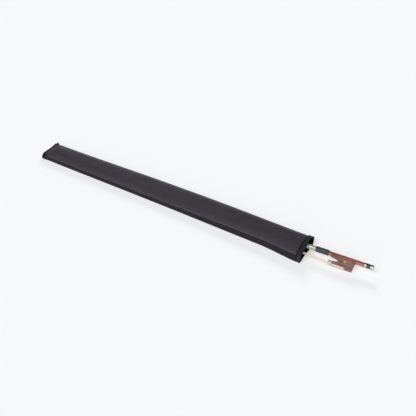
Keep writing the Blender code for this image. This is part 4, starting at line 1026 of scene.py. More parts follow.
@dataclass
class PaddedPanels:
    """The crowned top and the flat underside, each a cover sewn over foam, with their linings."""

    shape: SleeveShape
    rows: int = 300
    columns: int = 46
    edge_radius: float = 2.4 * MM           # rolled side edge
    edge_drop: float = 0.8 * MM             # how far the edge drops
    rim_puff: float = 0.7 * MM              # how far it swells out
    wrinkle: float = 0.16 * MM              # height of low wrinkles
    pucker: float = 0.07 * MM               # height of puckers at the seams
    pucker_run: float = 6.0 * MM            # how far in they fade
    wrinkle_size: tuple[float, float] = (0.160, 0.034)  # along and across
    pucker_pitch: float = 7.4 * MM
    pucker_drift: float = 2.6
    pucker_size: tuple[float, float] = (0.030, 0.050)  # along and across
    hem_gap: float = 0.3 * MM
    corner_rows: int = 14
    crowding: float = 0.35                  # share of points drawn to the sides
    settling_grid: tuple[int, int] = (190, 17)
    settling_start: float = 0.05 * MM       # unevenness at the start
    settling_size: tuple[float, float] = (0.030, 0.020)
    settling_frames: int = 20
    settling_limits: tuple[float, float] = (-0.5 * MM, 1.0 * MM)
    settling_passes: int = 6
    under_grid: tuple[int, int] = (160, 16)
    under_round: float = 0.5 * MM
    lining_gap: float = 0.2 * MM            # lining to its padding
    lining_edge: float = 0.9 * MM           # lining's end to the mouth
    lining_rows: int = 200
    upper_columns: int = 24
    lower_columns: int = 20
    lower_thickness: float = 0.5 * MM
    sag: float = 0.15 * MM                  # how far the upper lining hangs
    sag_size: tuple[float, float] = (0.050, 0.020)
    bump: float = 0.048 * MM                # unevenness of the lower lining
    bump_size: tuple[float, float] = (0.060, 0.030)
    fade_run: float = 0.010
    mouth_fade: float = 0.030

    def stations(self, start: float, end: float, count: int) -> np.ndarray:
        """Places along the sleeve, closer together at the rounded closed corners."""
        turn = start + self.shape.near_corner * (1 - np.cos(np.linspace(0, math.pi / 2, self.corner_rows)))
        return np.concatenate([turn, np.linspace(turn[-1], end, count - self.corner_rows + 1)[1:]])

    def grid(self, start: float, end: float, inset: float, rows: int,
             columns: int) -> tuple[np.ndarray, np.ndarray]:
        """Lay a grid over the sleeve's plan.

        Args:
            start: x of the closed edge.
            end: x of the mouth edge.
            inset: How far inside the outline.
            rows: Points along.
            columns: Points across.

        Returns:
            x and y grids.
        """
        x = self.stations(start, end, rows)
        near, far = self.shape.side(x, -1, inset), self.shape.side(x, 1, inset)
        even = np.linspace(0, 1, columns)
        share = self.crowding * (1 - np.cos(math.pi * even)) / 2 + (1 - self.crowding) * even
        y = near[:, None] + (far - near)[:, None] * share[None, :]
        return np.broadcast_to(x[:, None], y.shape).copy(), y

    def to_seam(self, x: np.ndarray, y: np.ndarray) -> np.ndarray:
        """Distance across the sleeve from a point to the nearer side seam."""
        return np.minimum(np.abs(y - self.shape.side(x, -1)), np.abs(y - self.shape.side(x, 1)))

    def settled(self) -> Callable[[np.ndarray, np.ndarray], np.ndarray]:
        """Let a slightly large cloth settle between its sewn edges.

        Returns:
            A function of x and y that gives how far the cloth lies off its pattern.
        """
        rows, columns = self.settling_grid
        x, y = self.grid(-self.shape.half, self.shape.hem_start, 0.0, rows, columns)
        along, across = self.settling_size
        start = self.settling_start * soft_noise(x / along, y / across, seed=3)
        points = np.stack([x, y, self.shape.top(x, y) + start], axis=-1)
        item = numpy_mesh("settling_cloth", points, strip_faces(rows, columns))
        sewn = np.ones((rows, columns), bool)
        sewn[1:-1, 1:-1] = False
        pins = item.vertex_groups.new(name="sewn")
        pins.add([int(k) for k in np.flatnonzero(sewn)], 1.0, "REPLACE")
        modifier = item.modifiers.new("cloth", "CLOTH")
        for name, value in SETTLING.items():
            setattr(modifier.settings, name, value)
        modifier.settings.vertex_group_mass = pins.name
        modifier.settings.effector_weights.gravity = 0
        modifier.collision_settings.use_collision = False
        for step in range(self.settling_frames):
            bpy.context.scene.frame_set(step + 1)
        data = item.evaluated_get(bpy.context.evaluated_depsgraph_get()).data
        after = np.empty(len(data.vertices) * 3)
        data.vertices.foreach_get("co", after)
        shift = after.reshape(points.shape)[..., 2] - points[..., 2]
        bpy.context.scene.frame_set(1)
        bpy.data.objects.remove(item, do_unlink=True)
        LOG.info("settled cloth: %.2f to %.2f mm", shift.min() / MM, shift.max() / MM)
        shift = np.clip(shift, *self.settling_limits)
        for _ in range(self.settling_passes):
            shift[1:-1] = (shift[:-2] + 2 * shift[1:-1] + shift[2:]) / 4
        middle = y[rows // 2]
        shares = (middle - middle[0]) / (middle[-1] - middle[0])

        def sample(px: np.ndarray, py: np.ndarray) -> np.ndarray:
            """Read the settled shift between the points of the cloth.

            Args:
                px: Places along the sleeve.
                py: Places across it.

            Returns:
                Shifts in Z.
            """
            near, far = self.shape.side(px, -1), self.shape.side(px, 1)
            i = np.interp(px, x[:, 0], np.arange(rows))
            share = np.clip((py - near) / np.maximum(far - near, 1e-6), 0, 1)
            j = np.interp(share, shares, np.arange(columns))
            i0, j0 = np.minimum(i.astype(int), rows - 2), np.minimum(j.astype(int), columns - 2)
            a, b = ease(i - i0), ease(j - j0)
            return ((shift[i0, j0] * (1 - b) + shift[i0, j0 + 1] * b) * (1 - a)
                    + (shift[i0 + 1, j0] * (1 - b) + shift[i0 + 1, j0 + 1] * b) * a)
        return sample

    def build(self, shop: Workshop) -> None:
        """Make both padded panels and both linings.

        Args:
            shop: The workshop.
        """
        self.build_top(shop)
        self.build_under(shop)
        self.build_linings(shop)

    def build_top(self, shop: Workshop) -> None:
        """Make the crowned top: rolled edges, puckered seams, low wrinkles and the settled rise.

        Args:
            shop: The workshop.
        """
        shape = self.shape
        end = shape.hem_start - self.hem_gap
        x, y = self.grid(-shape.half, end, 0.0, self.rows, self.columns)
        settle = self.settled()
        edge = np.minimum(self.to_seam(x, y), x + shape.half)
        fold = np.clip(1 - edge / self.edge_radius, 0, 1)
        inner = ease(edge / (4 * self.edge_radius))
        seam = np.exp(-edge / self.pucker_run) * ease((end - x) / (3 * self.pucker_run))
        wrinkles = soft_noise(x / self.wrinkle_size[0], y / self.wrinkle_size[1], seed=11)
        drift = soft_noise(x / self.pucker_size[0], y / self.pucker_size[1], seed=5)
        top = shape.top(x, y) - self.edge_drop * (1 - np.sqrt(1 - fold ** 2))
        top = top + inner * (settle(x, y) + self.wrinkle * wrinkles)
        top = top + seam * self.pucker * np.sin(x / self.pucker_pitch * TAU + self.pucker_drift * drift)
        outward = np.where(y > 0, 1, -1) * self.rim_puff * fold ** 2
        upper = np.stack([x, y + outward, top], axis=-1)
        lower = np.stack([x, y, shape.top(x, y) - shape.pad], axis=-1)
        quilt = shell("top_quilt", shape.slanted(upper), shape.slanted(lower))
        shop.fit(quilt, Body.SLEEVE, "nylon", "woven_nylon", "top_cover", "top_padding")

    def build_under(self, shop: Workshop) -> None:
        """Make the flat underside with its rounded side edges.

        Args:
            shop: The workshop.
        """
        shape = self.shape
        x, y = self.grid(-shape.half, shape.hem_start - self.hem_gap, 0.0, *self.under_grid)
        upper = np.stack([x, y, np.full_like(x, shape.pad)], axis=-1)
        dip = self.under_round * np.clip(1 - self.to_seam(x, y) / self.edge_radius, 0, 1) ** 2
        lower = np.stack([x, y, dip], axis=-1)
        under = shell("under_quilt", shape.slanted(upper), shape.slanted(lower))
        shop.fit(under, Body.SLEEVE, "nylon", "woven_nylon", "bottom_cover", "bottom_padding")

    def build_linings(self, shop: Workshop) -> None:
        """Make the two lining sheets.

        Args:
            shop: The workshop.
        """
        shape = self.shape
        inset = shape.side_strip + self.lining_gap
        start, end = -shape.half + inset, shape.half - self.lining_edge

        x, y = self.grid(start, end, inset, self.lining_rows, self.upper_columns)
        sag = self.sag * (soft_noise(x / self.sag_size[0], y / self.sag_size[1], seed=21) - 1)
        fade = ease((x - start) / self.fade_run) * ease(self.to_seam(x, y) / self.fade_run - 0.2)
        outer = shape.top(x, y) - shape.pad - self.lining_gap
        inner = outer - (shape.wall - shape.pad - self.lining_gap)
        inner = inner + sag * fade * ease((end - x) / self.mouth_fade)
        upper = shell("upper_lining", shape.slanted(np.stack([x, y, outer], axis=-1)),
                      shape.slanted(np.stack([x, y, inner], axis=-1)))
        shop.fit(upper, Body.SLEEVE, "lining", "lining_cloth", "top_lining")

        x, y = self.grid(start, end, inset, self.lining_rows, self.lower_columns)
        bump = self.bump * (soft_noise(x / self.bump_size[0], y / self.bump_size[1], seed=22) + 1)
        fade = ease((end - x) / self.mouth_fade) * ease((x - start) / self.fade_run)
        low = np.full_like(x, shape.pad + self.lining_gap)
        high = low + self.lower_thickness + bump * fade
        lower = shell("lower_lining", shape.slanted(np.stack([x, y, high], axis=-1)),
                      shape.slanted(np.stack([x, y, low], axis=-1)))
        shop.fit(lower, Body.SLEEVE, "lining", "lining_cloth", "bottom_lining")


@dataclass
class SideStrips:
    """The upright strips: two long ones quilted along their middle, and the one across the end."""

    shape: SleeveShape
    puff: float = 0.9 * MM                  # how far the pads stand out
    channel: float = 0.50 * MM              # depth of the middle seam
    gap: float = 1.1 * MM                   # strip's edges to the covers
    levels: int = 17                        # points up the outer face
    painted_gutter_shade_rows: int = 2                     # rows under the top's rim, near black as painted gutter shade
    wobble: float = 0.16 * MM
    wobble_size: float = 0.020
    back_points: int = 4                    # points down the inner face
    pad_power: float = 0.6
    channel_width: float = 0.07
    tuck: float = 0.10 * MM
    tuck_pitch: float = 6.5 * MM
    tuck_width: float = 0.12
    hem_share: float = 0.15                 # puff left under the hem
    mouth_gap: float = 0.9 * MM
    end_gap: float = 0.2 * MM
    steps: int = 260
    end_steps: int = 30
    plain_end: float = 0.020                # unstitched at the closed end
    plain_mouth: float = 1.0 * MM           # unstitched at the hem

    def profile(self) -> np.ndarray:
        """Outward puff of the strip at its levels.

        Returns:
            Shares from 0 to 1 for the two pads either side of the middle seam.
        """
        t = np.linspace(0, 1, self.levels)
        pads = np.abs(np.sin(TAU * t)) ** self.pad_power
        return pads - self.channel / self.puff * np.exp(-((t - 0.5) / self.channel_width) ** 2)

    def strip(self, name: str, path: np.ndarray,
              seed: int) -> tuple[bpy.types.Object, np.ndarray, np.ndarray]:
        """Sweep the strip along a plan path.

        Args:
            name: The piece's name.
            path: (n, 4) of x, y, nx, ny.
            seed: Seed of the unevenness.

        Returns:
            The piece, the middle seam's path and its normals.
        """
        shape = self.shape
        x, y, nx, ny = path.T
        low = np.full_like(x, self.gap)
        high = shape.top(x, y) - self.gap
        fade = ease((shape.hem_start - x) / (1.5 * shape.hem)) * (1 - self.hem_share) + self.hem_share
        run = travelled(x, y)[:, None]
        t = np.linspace(0, 1, self.levels)[None, :]
        uneven = self.wobble * soft_noise(run / self.wobble_size, t * 0.7, seed) * np.sin(math.pi * t)
        tuck = self.tuck * np.sin(run / self.tuck_pitch * TAU) * np.exp(-((t - 0.5) / self.tuck_width) ** 2)
        out = (self.puff * self.profile()[None, :] + uneven + tuck) * fade[:, None]
        z = low[:, None] + (high - low)[:, None] * t
        outer = np.stack([x[:, None] + nx[:, None] * out, y[:, None] + ny[:, None] * out, z], axis=-1)
        back = np.linspace(1, 0, self.back_points)
        inner = np.stack([np.repeat((x - nx * shape.side_strip)[:, None], self.back_points, 1),
                          np.repeat((y - ny * shape.side_strip)[:, None], self.back_points, 1),
                          low[:, None] + (high - low)[:, None] * back[None, :]], axis=-1)
        item = swept(name, shape.slanted(np.concatenate([outer, inner], axis=1)), sharp=60)
        middle = self.levels // 2
        normals = np.stack([nx, ny, np.zeros_like(nx)], axis=1)
        return item, shape.slanted(outer[:, middle] + normals * 0.05 * MM), normals

    def build(self, shop: Workshop) -> None:
        """Make the three strips and the stitching of the long ones.

        Args:
            shop: The workshop.
        """
        shape = self.shape
        for name, side, seed in (("near_gusset", -1, 31), ("far_gusset", 1, 32)):
            path = shape.rim(side, shape.half - self.mouth_gap, self.steps)
            item, seam, normals = self.strip(name.replace("gusset", "side_strip"), path, seed)
            # The strip's darker nylon is painted shade on its upright face.
            shop.fit(item, Body.SLEEVE, "painted_shade_side_nylon", "gusset_nylon", name)
            # The top rows of the outer face take the near black tape: painted shade for the gutter under the
            # top's rim.
            item.data.materials.append(shop.material("tape"))
            around = self.levels + self.back_points
            for face in item.data.polygons:
                below = self.levels - 2 - face.index % around
                if face.index < around * (len(path) - 1) and 0 <= below < self.painted_gutter_shade_rows:
                    face.material_index = 1
            keep = path[:, 0] < shape.hem_start - self.plain_mouth
            keep &= path[:, 0] > -shape.half + self.plain_end
            row = StitchRow(name.replace("gusset", "strip_stitches"))
            stitches = row.sew(seam[keep], normals[keep], shop.material("seam_thread"))
            shop.fit(stitches, Body.SLEEVE, "", "gusset_nylon")
        near, far = (float(shape.side(-shape.half + shape.corner(side), side, rounded=False))
                     - side * shape.corner(side) for side in (-1, 1))
        ys = np.linspace(near + self.end_gap, far - self.end_gap, self.end_steps)
        path = np.stack([np.full_like(ys, -shape.half), ys, np.full_like(ys, -1.0), np.zeros_like(ys)],
                        axis=1)
        item, _, _ = self.strip("end_side_strip", path, 33)
        # The end strip's darker nylon is painted shade as well.
        shop.fit(item, Body.SLEEVE, "painted_shade_end_nylon", "gusset_nylon", "end_gusset")


@dataclass
class EndTape:
    """The ribbed tape that binds the closed end, with its folded tail."""

    shape: SleeveShape
    thickness: float = 0.7 * MM
    reach: float = 4.2 * MM                 # width on the top
    stand: float = 0.7 * MM                 # off the strip
    near_run: float = 14.0 * MM             # past the near corner
    tail: float = 4.0 * MM                  # past the far corner
    tail_fold: float = 1.1 * MM             # how far the folded tail stands out
    tail_lift: float = 2.6 * MM             # how far it stands up
    tail_steps: tuple[int, int] = (15, 4)   # points of the tail, and of its rise
    laid_steps: int = 14                    # points to its full size
    near_steps: int = 12
    far_steps: int = 14
    end_steps: int = 24
    low: float = 0.35 * MM
    round_over: float = 1.4 * MM
    round_steps: int = 6
    wave: float = 0.12 * MM
    wave_pitch: float = 5.2 * MM
    least: float = 0.35                     # share of its width at the start
    least_thickness: float = 0.25
    stitch_edge: float = 1.4 * MM
    stitch_lift: float = 0.12 * MM
    rim_lift: float = 0.20 * MM
    inner_lift: float = 0.25 * MM

    def path(self) -> np.ndarray:
        """Plan path round the closed end, near side first, with the tail on the far side.

        Returns:
            (n, 4) of x, y, nx, ny.
        """
        shape = self.shape
        near = shape.rim(-1, -shape.half + shape.near_corner + self.near_run, self.near_steps)
        far = shape.rim(1, -shape.half + shape.far_corner + self.tail, self.far_steps)[::-1]
        ys = np.linspace(near[-1, 1], far[0, 1], self.end_steps)[1:-1]
        middle = np.stack([np.full_like(ys, -shape.half), ys, np.full_like(ys, -1.0), np.zeros_like(ys)],
                          axis=1)
        return np.concatenate([near, middle, far])

    def section(self, place: np.ndarray, wave: float, laid: float, tail: float) -> list[tuple[float, float]]:
        """Section of the tape at one place: how far out it stands and its height.

        Args:
            place: x, y, nx and ny of the place.
            wave: How far the tape waves off there.
            laid: Share of its full size, which it reaches a little way from its start.
            tail: Share of the folded tail.

        Returns:
            A closed outline of (out, z).
        """
        x, y, nx, ny = place
        size = self.least + (1 - self.least) * laid
        stand, reach = (self.stand + wave * 0.5) * size, self.reach * size
        thickness = self.thickness * (self.least_thickness + (1 - self.least_thickness) * laid)
        outer, lift = stand + thickness + self.tail_fold * tail, self.tail_lift * tail
        rim = float(self.shape.top(x, y)) + self.rim_lift
        inner = float(self.shape.top(x - nx * reach, y - ny * reach)) + self.inner_lift + wave * 0.4
        flat, low, radius = inner + thickness, self.low, self.round_over
        # Up the outer face, over the rounded rim, and across the top to the inner edge.
        outline = [(outer, low + 0.4 * MM), (outer, rim * 0.45), (outer + 0.1 * MM, rim - radius + thickness)]
        outline += [(outer - radius + radius * math.cos(a),
                     rim + thickness - radius + lift + radius * math.sin(a))
                    for a in np.linspace(0, math.pi / 2, self.round_steps)[1:]]
        outline += [(-reach * 0.5, (rim + flat + thickness) / 2 + lift * 0.5 + 0.1 * MM),
                    (-reach + 0.3 * MM, flat), (-reach, flat - 0.25 * MM), (-reach, inner)]
        # Back on the cloth side, over the rim and down to the lower edge.
        return outline + [(-reach * 0.5, (rim + inner) / 2), (0.0, rim), (stand, rim - 0.3 * MM),
                          (stand, rim * 0.5), (stand, low), (outer - 0.3 * MM, low)]

    def build(self, shop: Workshop) -> None:
        """Make the tape and its stitches.

        Args:
            shop: The workshop.
        """
        shape = self.shape
        path = self.path()
        x, y, nx, ny = path.T
        index = np.arange(len(path))
        from_tail = len(path) - index
        tail = ease((self.tail_steps[0] - from_tail) / self.tail_steps[1])
        laid = ease((index - 1) / self.laid_steps)
        wave = self.wave * np.sin(travelled(x, y) / self.wave_pitch * TAU)
        rings = [[(x[k] + nx[k] * out, y[k] + ny[k] * out, z)
                  for out, z in self.section(path[k], wave[k], laid[k], tail[k])] for k in index]
        tape = swept("end_tape", shape.slanted(np.array(rings)), sharp=55)
        shop.fit(tape, Body.SLEEVE, "tape", "binding_tape", "end_binding")
        inset = self.reach - self.stitch_edge
        px, py = x - nx * inset, y - ny * inset
        pz = shape.top(px, py) + self.inner_lift + self.thickness + self.stitch_lift
        line = shape.slanted(np.stack([px, py, pz], axis=1))
        keep = (from_tail > self.far_steps) & (index > self.near_steps)
        up = np.tile([0.0, 0.0, 1.0], (len(path), 1))
        row = StitchRow("tape_stitches", pitch=2.6 * MM, length=2.0 * MM)
        stitches = row.sew(line[keep], up[keep], shop.material("seam_thread"))
        shop.fit(stitches, Body.SLEEVE, "", "binding_tape")


@dataclass
class MouthHem:
    """The turned hem round the mouth, as one ring, with its stitch line."""

    shape: SleeveShape
    rise: float = 0.35 * MM                 # off the covers
    thickness: float = 0.6 * MM
    side_out: float = 0.9 * MM              # off the strips
    corner_out: float = 0.5 * MM            # more at the corners
    corner_radius: float = 3.0 * MM
    lip: float = 1.2 * MM                   # roundness of the free edge
    wave: float = 0.16 * MM
    set_back: float = 2.4 * MM              # upper edge, toward the sleeve
    reach: float = 1.8 * MM                 # far and lower edges, outward
    reach_run: float = 11 * MM              # how far across they change over
    stitch_line: float = 2.2 * MM           # from the hem's start
    inner_rows: tuple[int, int] = (9, 12)   # section rows inside the mouth
    seam_rows: tuple[int, int] = (0, 1)     # section rows of the seam
    top_points: int = 60
    side_points: int = 14
    under_points: int = 24
    corner_points: int = 7
    corner_at: float = 0.031                # half the width at the corners
    corner_run: float = 0.004
    far_from: float = -0.012
    far_run: float = 0.030
    wave_pitch: float = 8.3 * MM
    wave_drift: float = 0.020
    lining_fit: float = 0.2 * MM
    tuck: float = 0.30 * MM
    tuck_run: float = 0.5 * MM
    groove: float = 0.12 * MM
    crest: float = 0.10 * MM
    crest_run: float = 4.2 * MM
    turn_back: float = 2.5 * MM             # flat part before the lip
    lip_angle: float = math.pi * 0.42
    lip_points: int = 7
    fold_inside: float = 0.8

    def edge_shift(self, points: np.ndarray, normals: np.ndarray) -> np.ndarray:
        """How far the hem's free edge moves along X.

        The upper side curls back, and the far and lower ones reach out.

        Args:
            points: (n, 3) points round the mouth.
            normals: (n, 3) normals there.

        Returns:
            (n,) lengths.
        """
        y = points[:, 1]
        farness = ease((y - self.far_from) / self.far_run)
        back = ease((y.max() - y) / self.reach_run) * (normals[:, 2] > 0.3)
        return farness * (self.reach * (1 - back) - self.set_back * back)

    def corner(self, y: float, z: float, start: float) -> tuple[np.ndarray, np.ndarray]:
        """Points and normals of a rounded corner of the mouth, turning clockwise.

        Args:
            y: Place of its centre across the sleeve.
            z: Height of its centre.
            start: Angle at which it starts.

        Returns:
            (n, 2) points and (n, 2) normals.
        """
        angles = start - np.linspace(0, math.pi / 2, self.corner_points)[1:-1]
        normals = np.stack([np.cos(angles), np.sin(angles)], axis=1)
        return np.array([y, z]) + self.corner_radius * normals, normals

    def loop(self, x: float) -> tuple[np.ndarray, np.ndarray, np.ndarray]:
        """Points round the mouth at one place along the sleeve, with normals in Y and Z.

        Args:
            x: The place along the sleeve.

        Returns:
            (n, 3) points, (n, 3) normals and the wall's depth at each.
        """
        shape, r = self.shape, self.corner_radius
        near, far = float(shape.side(x, -1)), float(shape.side(x, 1))
        near_top, far_top = float(shape.top(x, near)), float(shape.top(x, far))
        ys = np.linspace(near + r, far - r, self.top_points)
        top = np.stack([ys, shape.top(x, ys)], axis=1)
        slope = np.gradient(top[:, 1], ys)
        top_n = np.stack([-slope, np.ones_like(slope)], axis=1)
        count = self.side_points
        up = np.stack([np.full(count, near), np.linspace(r, near_top - r, count)], axis=1)
        down = np.stack([np.full(count, far), np.linspace(far_top - r, r, count)], axis=1)
        back = np.linspace(far - r, near + r, self.under_points)
        under = np.stack([back, np.zeros_like(back)], axis=1)
        parts = [
            (up, np.tile([-1.0, 0.0], (count, 1))),
            self.corner(near + r, float(shape.top(x, near + r)) - r, math.pi),
            (top, top_n), self.corner(far - r, float(shape.top(x, far - r)) - r, math.pi / 2),
            (down, np.tile([1.0, 0.0], (count, 1))), self.corner(far - r, r, 0.0),
            (under, np.tile([0.0, -1.0], (len(under), 1))), self.corner(near + r, r, -math.pi / 2),
        ]
        points = np.concatenate([p for p, _ in parts])
        normals = np.concatenate([n for _, n in parts])
        normals = normals / np.linalg.norm(normals, axis=1, keepdims=True)
        flat = ease(np.abs(normals[:, 1]))
        depth = shape.side_strip + (shape.wall + self.lining_fit - shape.side_strip) * flat
        still = np.zeros((len(points), 1))
        return np.hstack([still + x, points]), np.hstack([still, normals]), depth

    def section(self, depth: float, out: float) -> list[tuple[float, float]]:
        """Section of the turned hem: place along X and offset from the wall's outer face.

        Args:
            depth: The wall's thickness there.
            out: How far the hem stands off the wall.

        Returns:
            A closed outline of (x, offset).
        """
        t, lip, fold = self.thickness, self.lip, self.thickness * self.fold_inside
        start, end = self.shape.hem_start, self.shape.half
        inner = -depth - t
        mid, half = (out + inner) / 2, (out - inner) / 2
        # Along the outside, round the lip, back along the inside, then the hollow of the fold.
        outline = [(start, out - self.tuck), (start + self.tuck_run, out),
                   (start + self.stitch_line, out - self.groove), (start + self.crest_run, out + self.crest),
                   (end - self.turn_back, out + self.crest)]
        outline += [(end - lip + lip * math.cos(a), mid + half * math.sin(a))
                    for a in np.linspace(self.lip_angle, -self.lip_angle, self.lip_points)]
        outline += [(end - self.turn_back, inner), (start, inner), (start, inner + fold)]
        return outline + [(end - lip - t, inner + fold), (end - lip - 0.2 * MM, mid),
                          (end - lip - t, out - fold), (start, out - t)]

    def build(self, shop: Workshop) -> None:
        """Make the hem and its stitches.

        Args:
            shop: The workshop.
        """
        shape = self.shape
        first, normals, depth = self.loop(shape.hem_start)
        last, last_n, _ = self.loop(shape.half)
        count = len(first)
        run = np.concatenate([[0], np.cumsum(np.linalg.norm(np.diff(first, axis=0), axis=1))])
        upright = np.abs(normals[:, 1])
        under = np.clip(-normals[:, 2], 0, 1)
        corners = np.exp(-((np.abs(np.abs(first[:, 1]) - self.corner_at) / self.corner_run) ** 2))
        waves = np.sin(run / self.wave_pitch * TAU + np.sin(run / self.wave_drift))
        stand = self.rise + (self.side_out - self.rise) * ease(upright)
        stand = stand + (self.corner_out * corners + self.wave * waves) * (1 - under)
        stand = np.where(under > 0.2, stand * (1 - under), stand)
        shift = self.edge_shift(first, normals)
        rings = []
        for k in range(count):
            ring = []
            for x, offset in self.section(depth[k], stand[k]):
                s = (x - shape.hem_start) / shape.hem
                base = first[k] + (last[k] - first[k]) * s
                normal = normals[k] + (last_n[k] - normals[k]) * s
                t = max(0.0, (x - shape.hem_start - self.stitch_line) / (shape.hem - self.stitch_line))
                x += shift[k] * min(1.0, t)
                ring.append([x, base[1] + normal[1] * offset, max(0.0, base[2] + normal[2] * offset)])
            rings.append(ring)
        hem = swept("mouth_hem", np.array(rings), closed=True, sharp=70)
        shop.fit(hem, Body.SLEEVE, "hem", "hem_nylon", "upper_hem", "lower_hem", "near_hem", "far_hem")
        for finish, (low, high) in (("lining", self.inner_rows), ("tape", self.seam_rows)):
            hem.data.materials.append(shop.material(finish))
            for face in hem.data.polygons:
                if low <= face.index % len(rings[0]) <= high:
                    face.material_index = len(hem.data.materials) - 1
        keep = (normals[:, 2] > -0.3) & (np.arange(count) > 2)
        line = first + (last - first) * self.stitch_line / shape.hem
        line = line + normals * (stand[:, None] - 0.05 * MM)
        line[:, 0] = shape.hem_start + self.stitch_line
        row = StitchRow("hem_stitches", pitch=2.8 * MM, length=2.1 * MM)
        stitches = row.sew(line[keep], normals[keep], shop.material("seam_thread"))
        shop.fit(stitches, Body.SLEEVE, "", "hem_nylon")


# The bow

@dataclass(frozen=True)
class BowShape:
    """Sizes and frames of the bow."""

    length: float = 0.745
    stick_out: float = 0.12926              # button's end past the mouth
    straight: float = 0.175                 # handle before the camber
    camber: float = math.radians(3.8)
    roll: float = math.radians(18)
    rise: float = math.radians(-0.07)
    yaw: float = 0.020
    place: tuple[float, float] = (0.0033, 0.0142)  # Y and Z where the camber starts
    handle_radius: float = 0.0043
    head_drop: float = 0.019
    mortise_setback: float = 0.010
    mortise_length: float = 0.007
    hair_drop: float = 0.0215               # hair below the stick's axis
    hair_thickness: float = 0.0009
    hair_fit: float = 0.3 * MM
    hair_root: float = 3.0 * MM
    liner_thickness: float = 0.6 * MM
    plate_thickness: float = 1.0 * MM
    head_fits: float = 0.6 * MM             # fits between stick, liner, plate and hair
    hair_frog: float = 0.0098               # width at the frog
    hair_tip: float = 0.0048                # width at the head
    ferrule_front: float = 0.0825           # from the button's end
    hair_inside: float = 0.0077             # length inside the ferrule

    @property
    def chord(self) -> Matrix:
        """Frame of the cambered part: X to the button, Z away from the hair."""
        x = SleeveShape().half + self.stick_out - self.straight
        place = Matrix.Translation((x, *self.place))
        tilt = Matrix.Rotation(-self.yaw, 4, "Z") @ Matrix.Rotation(-self.rise, 4, "Y")
        return place @ tilt @ Matrix.Rotation(-(math.pi / 2 - self.roll), 4, "X")

    @property
    def handle(self) -> Matrix:
        """Frame of the straight handle."""
        return self.chord @ Matrix.Rotation(-self.camber, 4, "Y")

    def at(self, distance: float) -> float:
        """X in the handle frame of a place given from the button's end."""
        return self.straight - distance


def moved(points: np.ndarray, frame: Matrix) -> np.ndarray:
    """Take (..., 3) points from a local frame to the shared one."""
    return points @ np.array(frame.to_3x3()).T + np.array(frame.translation)


